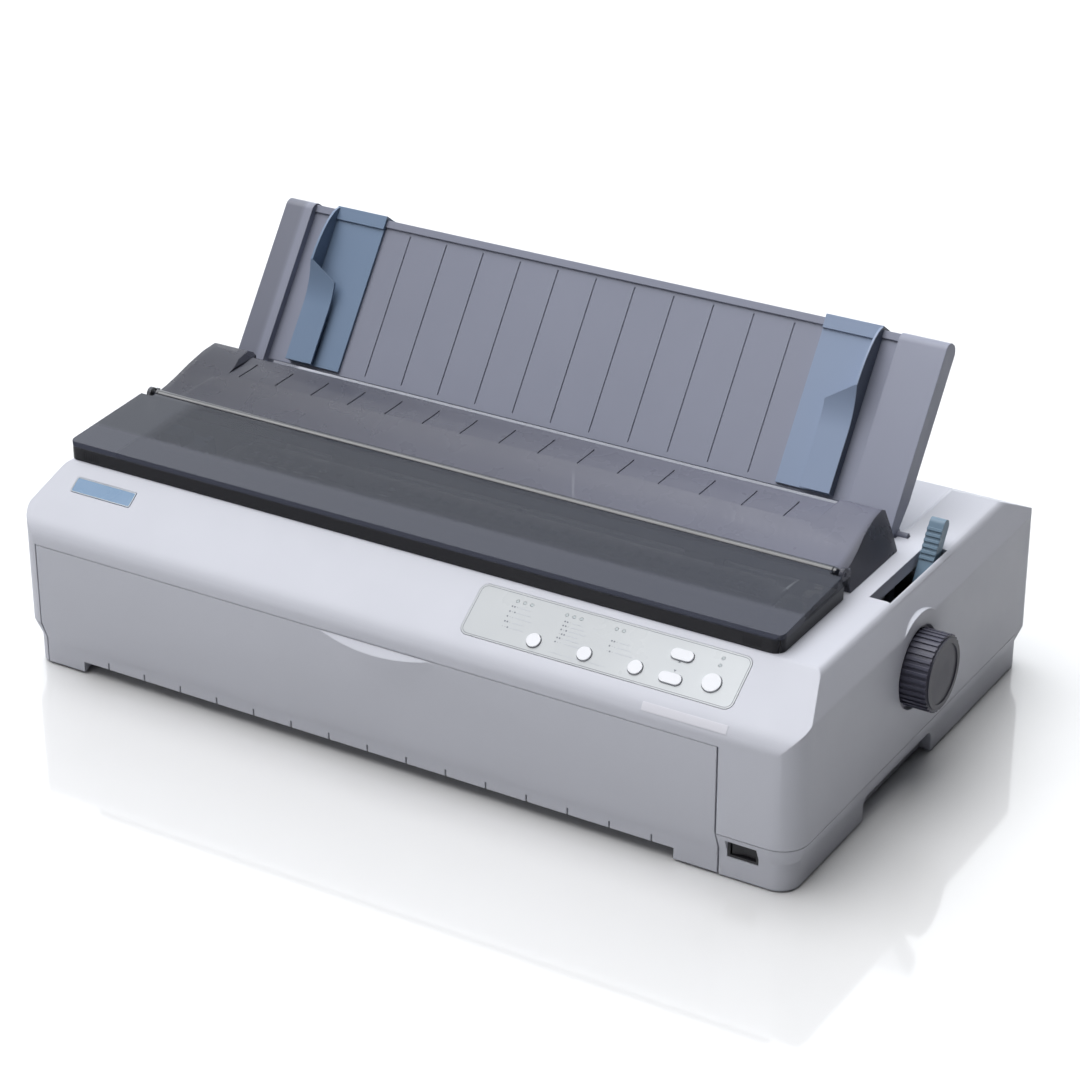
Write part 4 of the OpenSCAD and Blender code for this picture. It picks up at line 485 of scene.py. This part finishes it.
dark = Sheet()
light = Sheet()
for x, s, step, rows in LEGENDS:
    for i, row in enumerate(rows):
        y = s - i * step
        for k, full in enumerate(row):
            if full == "1":
                dark.dot(x + k * DOT_STEP, y, FULL_R, MARK_LOW, MARK_TOP)
            else:
                dark.dot(x + k * DOT_STEP, y, FAINT_R, MARK_LOW, MARK_TOP, 8)
        light.bar(x + BAR_X, y, BAR_LEAST + BAR_STEP * ((i * 7) % 3), BAR_T, MARK_LOW, MARK_TOP)
for x, s, d in ARROWS:
    head = [(x - 1.0, s - 0.7 * d), (x + 1.0, s - 0.7 * d), (x, s + 0.9 * d)]
    dark.outline(head[::d], MARK_LOW, MARK_TOP)
for x, s, w, t in RULES:
    light.bar(x, s, w, t, MARK_LOW, MARK_TOP)
piece("panel_dots", dark.verts, dark.faces, INK)
piece("panel_bars", light.verts, light.faces, SOFT_INK)

# Pale border of the bare badge
badge_line = border(-282.9, 36.7, -231.1, 48.8, 1.4, 0.6, 1.0, 0.28, 0.36)
piece("badge_border", badge_line.verts, badge_line.faces, MATS["panel_plastic"])

# ---------------------------------------------------------------- bare name strip
# Let into the rounded band right of the middle: its ends, its upper edge and step in degrees round the
# band, and how deep and how proud it is
STRIP_X = (196.6, 257.9)
STRIP_ANGLE = 155.0
STRIP_STEP = 1.65
STRIP_ROWS = 10
STRIP_H = (-0.2, 0.14)


def name_strip():
    rows = STRIP_ROWS + 1
    angles = [STRIP_ANGLE - STRIP_STEP * k for k in range(rows)]
    verts = [band_point(x, a, h) for h in STRIP_H for a in angles for x in STRIP_X]
    up = 2 * rows
    faces = []
    for a in range(0, 2 * STRIP_ROWS, 2):
        faces += [[a, a + 1, a + 3, a + 2], [up + a, up + a + 2, up + a + 3, up + a + 1]]
        faces += [[a, a + 2, up + a + 2, up + a], [a + 1, up + a + 1, up + a + 3, a + 3]]
    last = up - 2
    faces += [[0, up, up + 1, 1], [last, last + 1, up + last + 1, up + last]]
    strip_film = film("strip_film", (0.615, 0.615, 0.67), rough=0.34, edge=0.0002, wear_and_highlight=0.0)
    piece("name_strip_bare", verts, faces, strip_film, bevel=0.00015)


name_strip()

# ---------------------------------------------------------------- stage and light
FLOOR_HALF = 12.0
# Strength of the surroundings at the left and at the right
WORLD_LEFT = 0.25
WORLD_RIGHT = 0.0
# Direction and strength of the bright patch behind the object
PATCH_AT = (-0.48, 0.72, 0.50)
PATCH_POWER = 1.5
WORLD_COLOUR = (0.94, 0.97, 1.0, 1.0)


def flat_floor():
    s = Shade("pale_floor")
    s.set(IOR=1.45, Specular_IOR_Level=0.3, Coat_Weight=1.0, Coat_IOR=1.7, Coat_Roughness=0.06)
    s.finish((0.68, 0.68, 0.685), 0.4, 40.0, 0.0, 0.004, 0.0, 0.0)
    h = FLOOR_HALF
    mesh = bpy.data.meshes.new("floor")
    mesh.from_pydata([(-h, -h, 0), (h, -h, 0), (h, h, 0), (-h, h, 0)], [], [(0, 1, 2, 3)])
    mesh.materials.append(s.mat)
    o = bpy.data.objects.new("floor", mesh)
    scene.collection.objects.link(o)


def light_object(name, kind, power):
    data = bpy.data.lights.new(name, kind)
    data.energy = power
    o = bpy.data.objects.new(name, data)
    scene.collection.objects.link(o)
    return o, data


def area(name, place, target, size, power):
    o, data = light_object(name, "AREA", power)
    data.shape = "RECTANGLE"
    data.size, data.size_y = size
    o.location = place
    o.rotation_euler = (Vector(target) - Vector(place)).to_track_quat("-Z", "Y").to_euler()


def sun(name, towards, power, spread):
    """A wide soft light, as even over the whole floor as an overhead lighting ceiling."""
    o, data = light_object(name, "SUN", power)
    data.angle = math.radians(spread)
    o.rotation_euler = Vector(towards).to_track_quat("-Z", "Y").to_euler()


def studio_world():
    """Dim surroundings that fade to the right, with one broad bright patch high behind the object."""
    world = bpy.data.worlds.new("studio")
    world.use_nodes = True
    tree = world.node_tree
    back = tree.nodes["Background"]
    coord = tree.nodes.new("ShaderNodeTexCoord")
    split = tree.nodes.new("ShaderNodeSeparateXYZ")
    side = tree.nodes.new("ShaderNodeMapRange")
    aim = tree.nodes.new("ShaderNodeVectorMath")
    aim.operation = "DOT_PRODUCT"
    aim.inputs[1].default_value = PATCH_AT
    patch = tree.nodes.new("ShaderNodeMapRange")
    patch.interpolation_type = "SMOOTHSTEP"
    total = tree.nodes.new("ShaderNodeMath")
    ranges = ((side, (-0.6, 0.7, WORLD_LEFT, WORLD_RIGHT)), (patch, (0.5, 0.95, 0.0, PATCH_POWER)))
    for node, values in ranges:
        for k, v in zip(("From Min", "From Max", "To Min", "To Max"), values):
            node.inputs[k].default_value = v
    tree.links.new(coord.outputs["Generated"], split.inputs[0])
    tree.links.new(coord.outputs["Generated"], aim.inputs[0])
    tree.links.new(split.outputs["X"], side.inputs["Value"])
    tree.links.new(aim.outputs["Value"], patch.inputs["Value"])
    tree.links.new(side.outputs["Result"], total.inputs[0])
    tree.links.new(patch.outputs["Result"], total.inputs[1])
    tree.links.new(total.outputs[0], back.inputs["Strength"])
    back.inputs["Color"].default_value = WORLD_COLOUR
    scene.world = world


flat_floor()
studio_world()
sun("ceiling", (0.22, 0.12, -0.95), 3.3, 60.0)
area("left_soft", (-0.9, -3.2, 1.6), (0.0, 0.0, 0.1), (1.6, 1.2), 10.0)

# ---------------------------------------------------------------- camera
# Solved from the corners of the case in the photograph
LENS_MM = 104.47
CAMERA_AT = (1.0238, -1.6952, 1.0941)
CAMERA_RIGHT = (0.85655, 0.51606, 0.0)
CAMERA_AHEAD = (-0.46126, 0.76555, -0.44851)

camera_data = bpy.data.cameras.new("camera")
camera_data.sensor_fit = "HORIZONTAL"
camera_data.sensor_width = 36.0
camera_data.lens = LENS_MM
camera_data.clip_end = 50.0
camera = bpy.data.objects.new("camera", camera_data)
scene.collection.objects.link(camera)
ahead = Vector(CAMERA_AHEAD).normalized()
up = Vector(CAMERA_RIGHT).normalized().cross(ahead).normalized()
right = ahead.cross(up).normalized()
turn = Matrix((right, up, -ahead)).transposed().to_4x4()
camera.matrix_world = Matrix.Translation(CAMERA_AT) @ turn
scene.camera = camera

scene.view_settings.view_transform = "Standard"
scene.view_settings.look = "None"
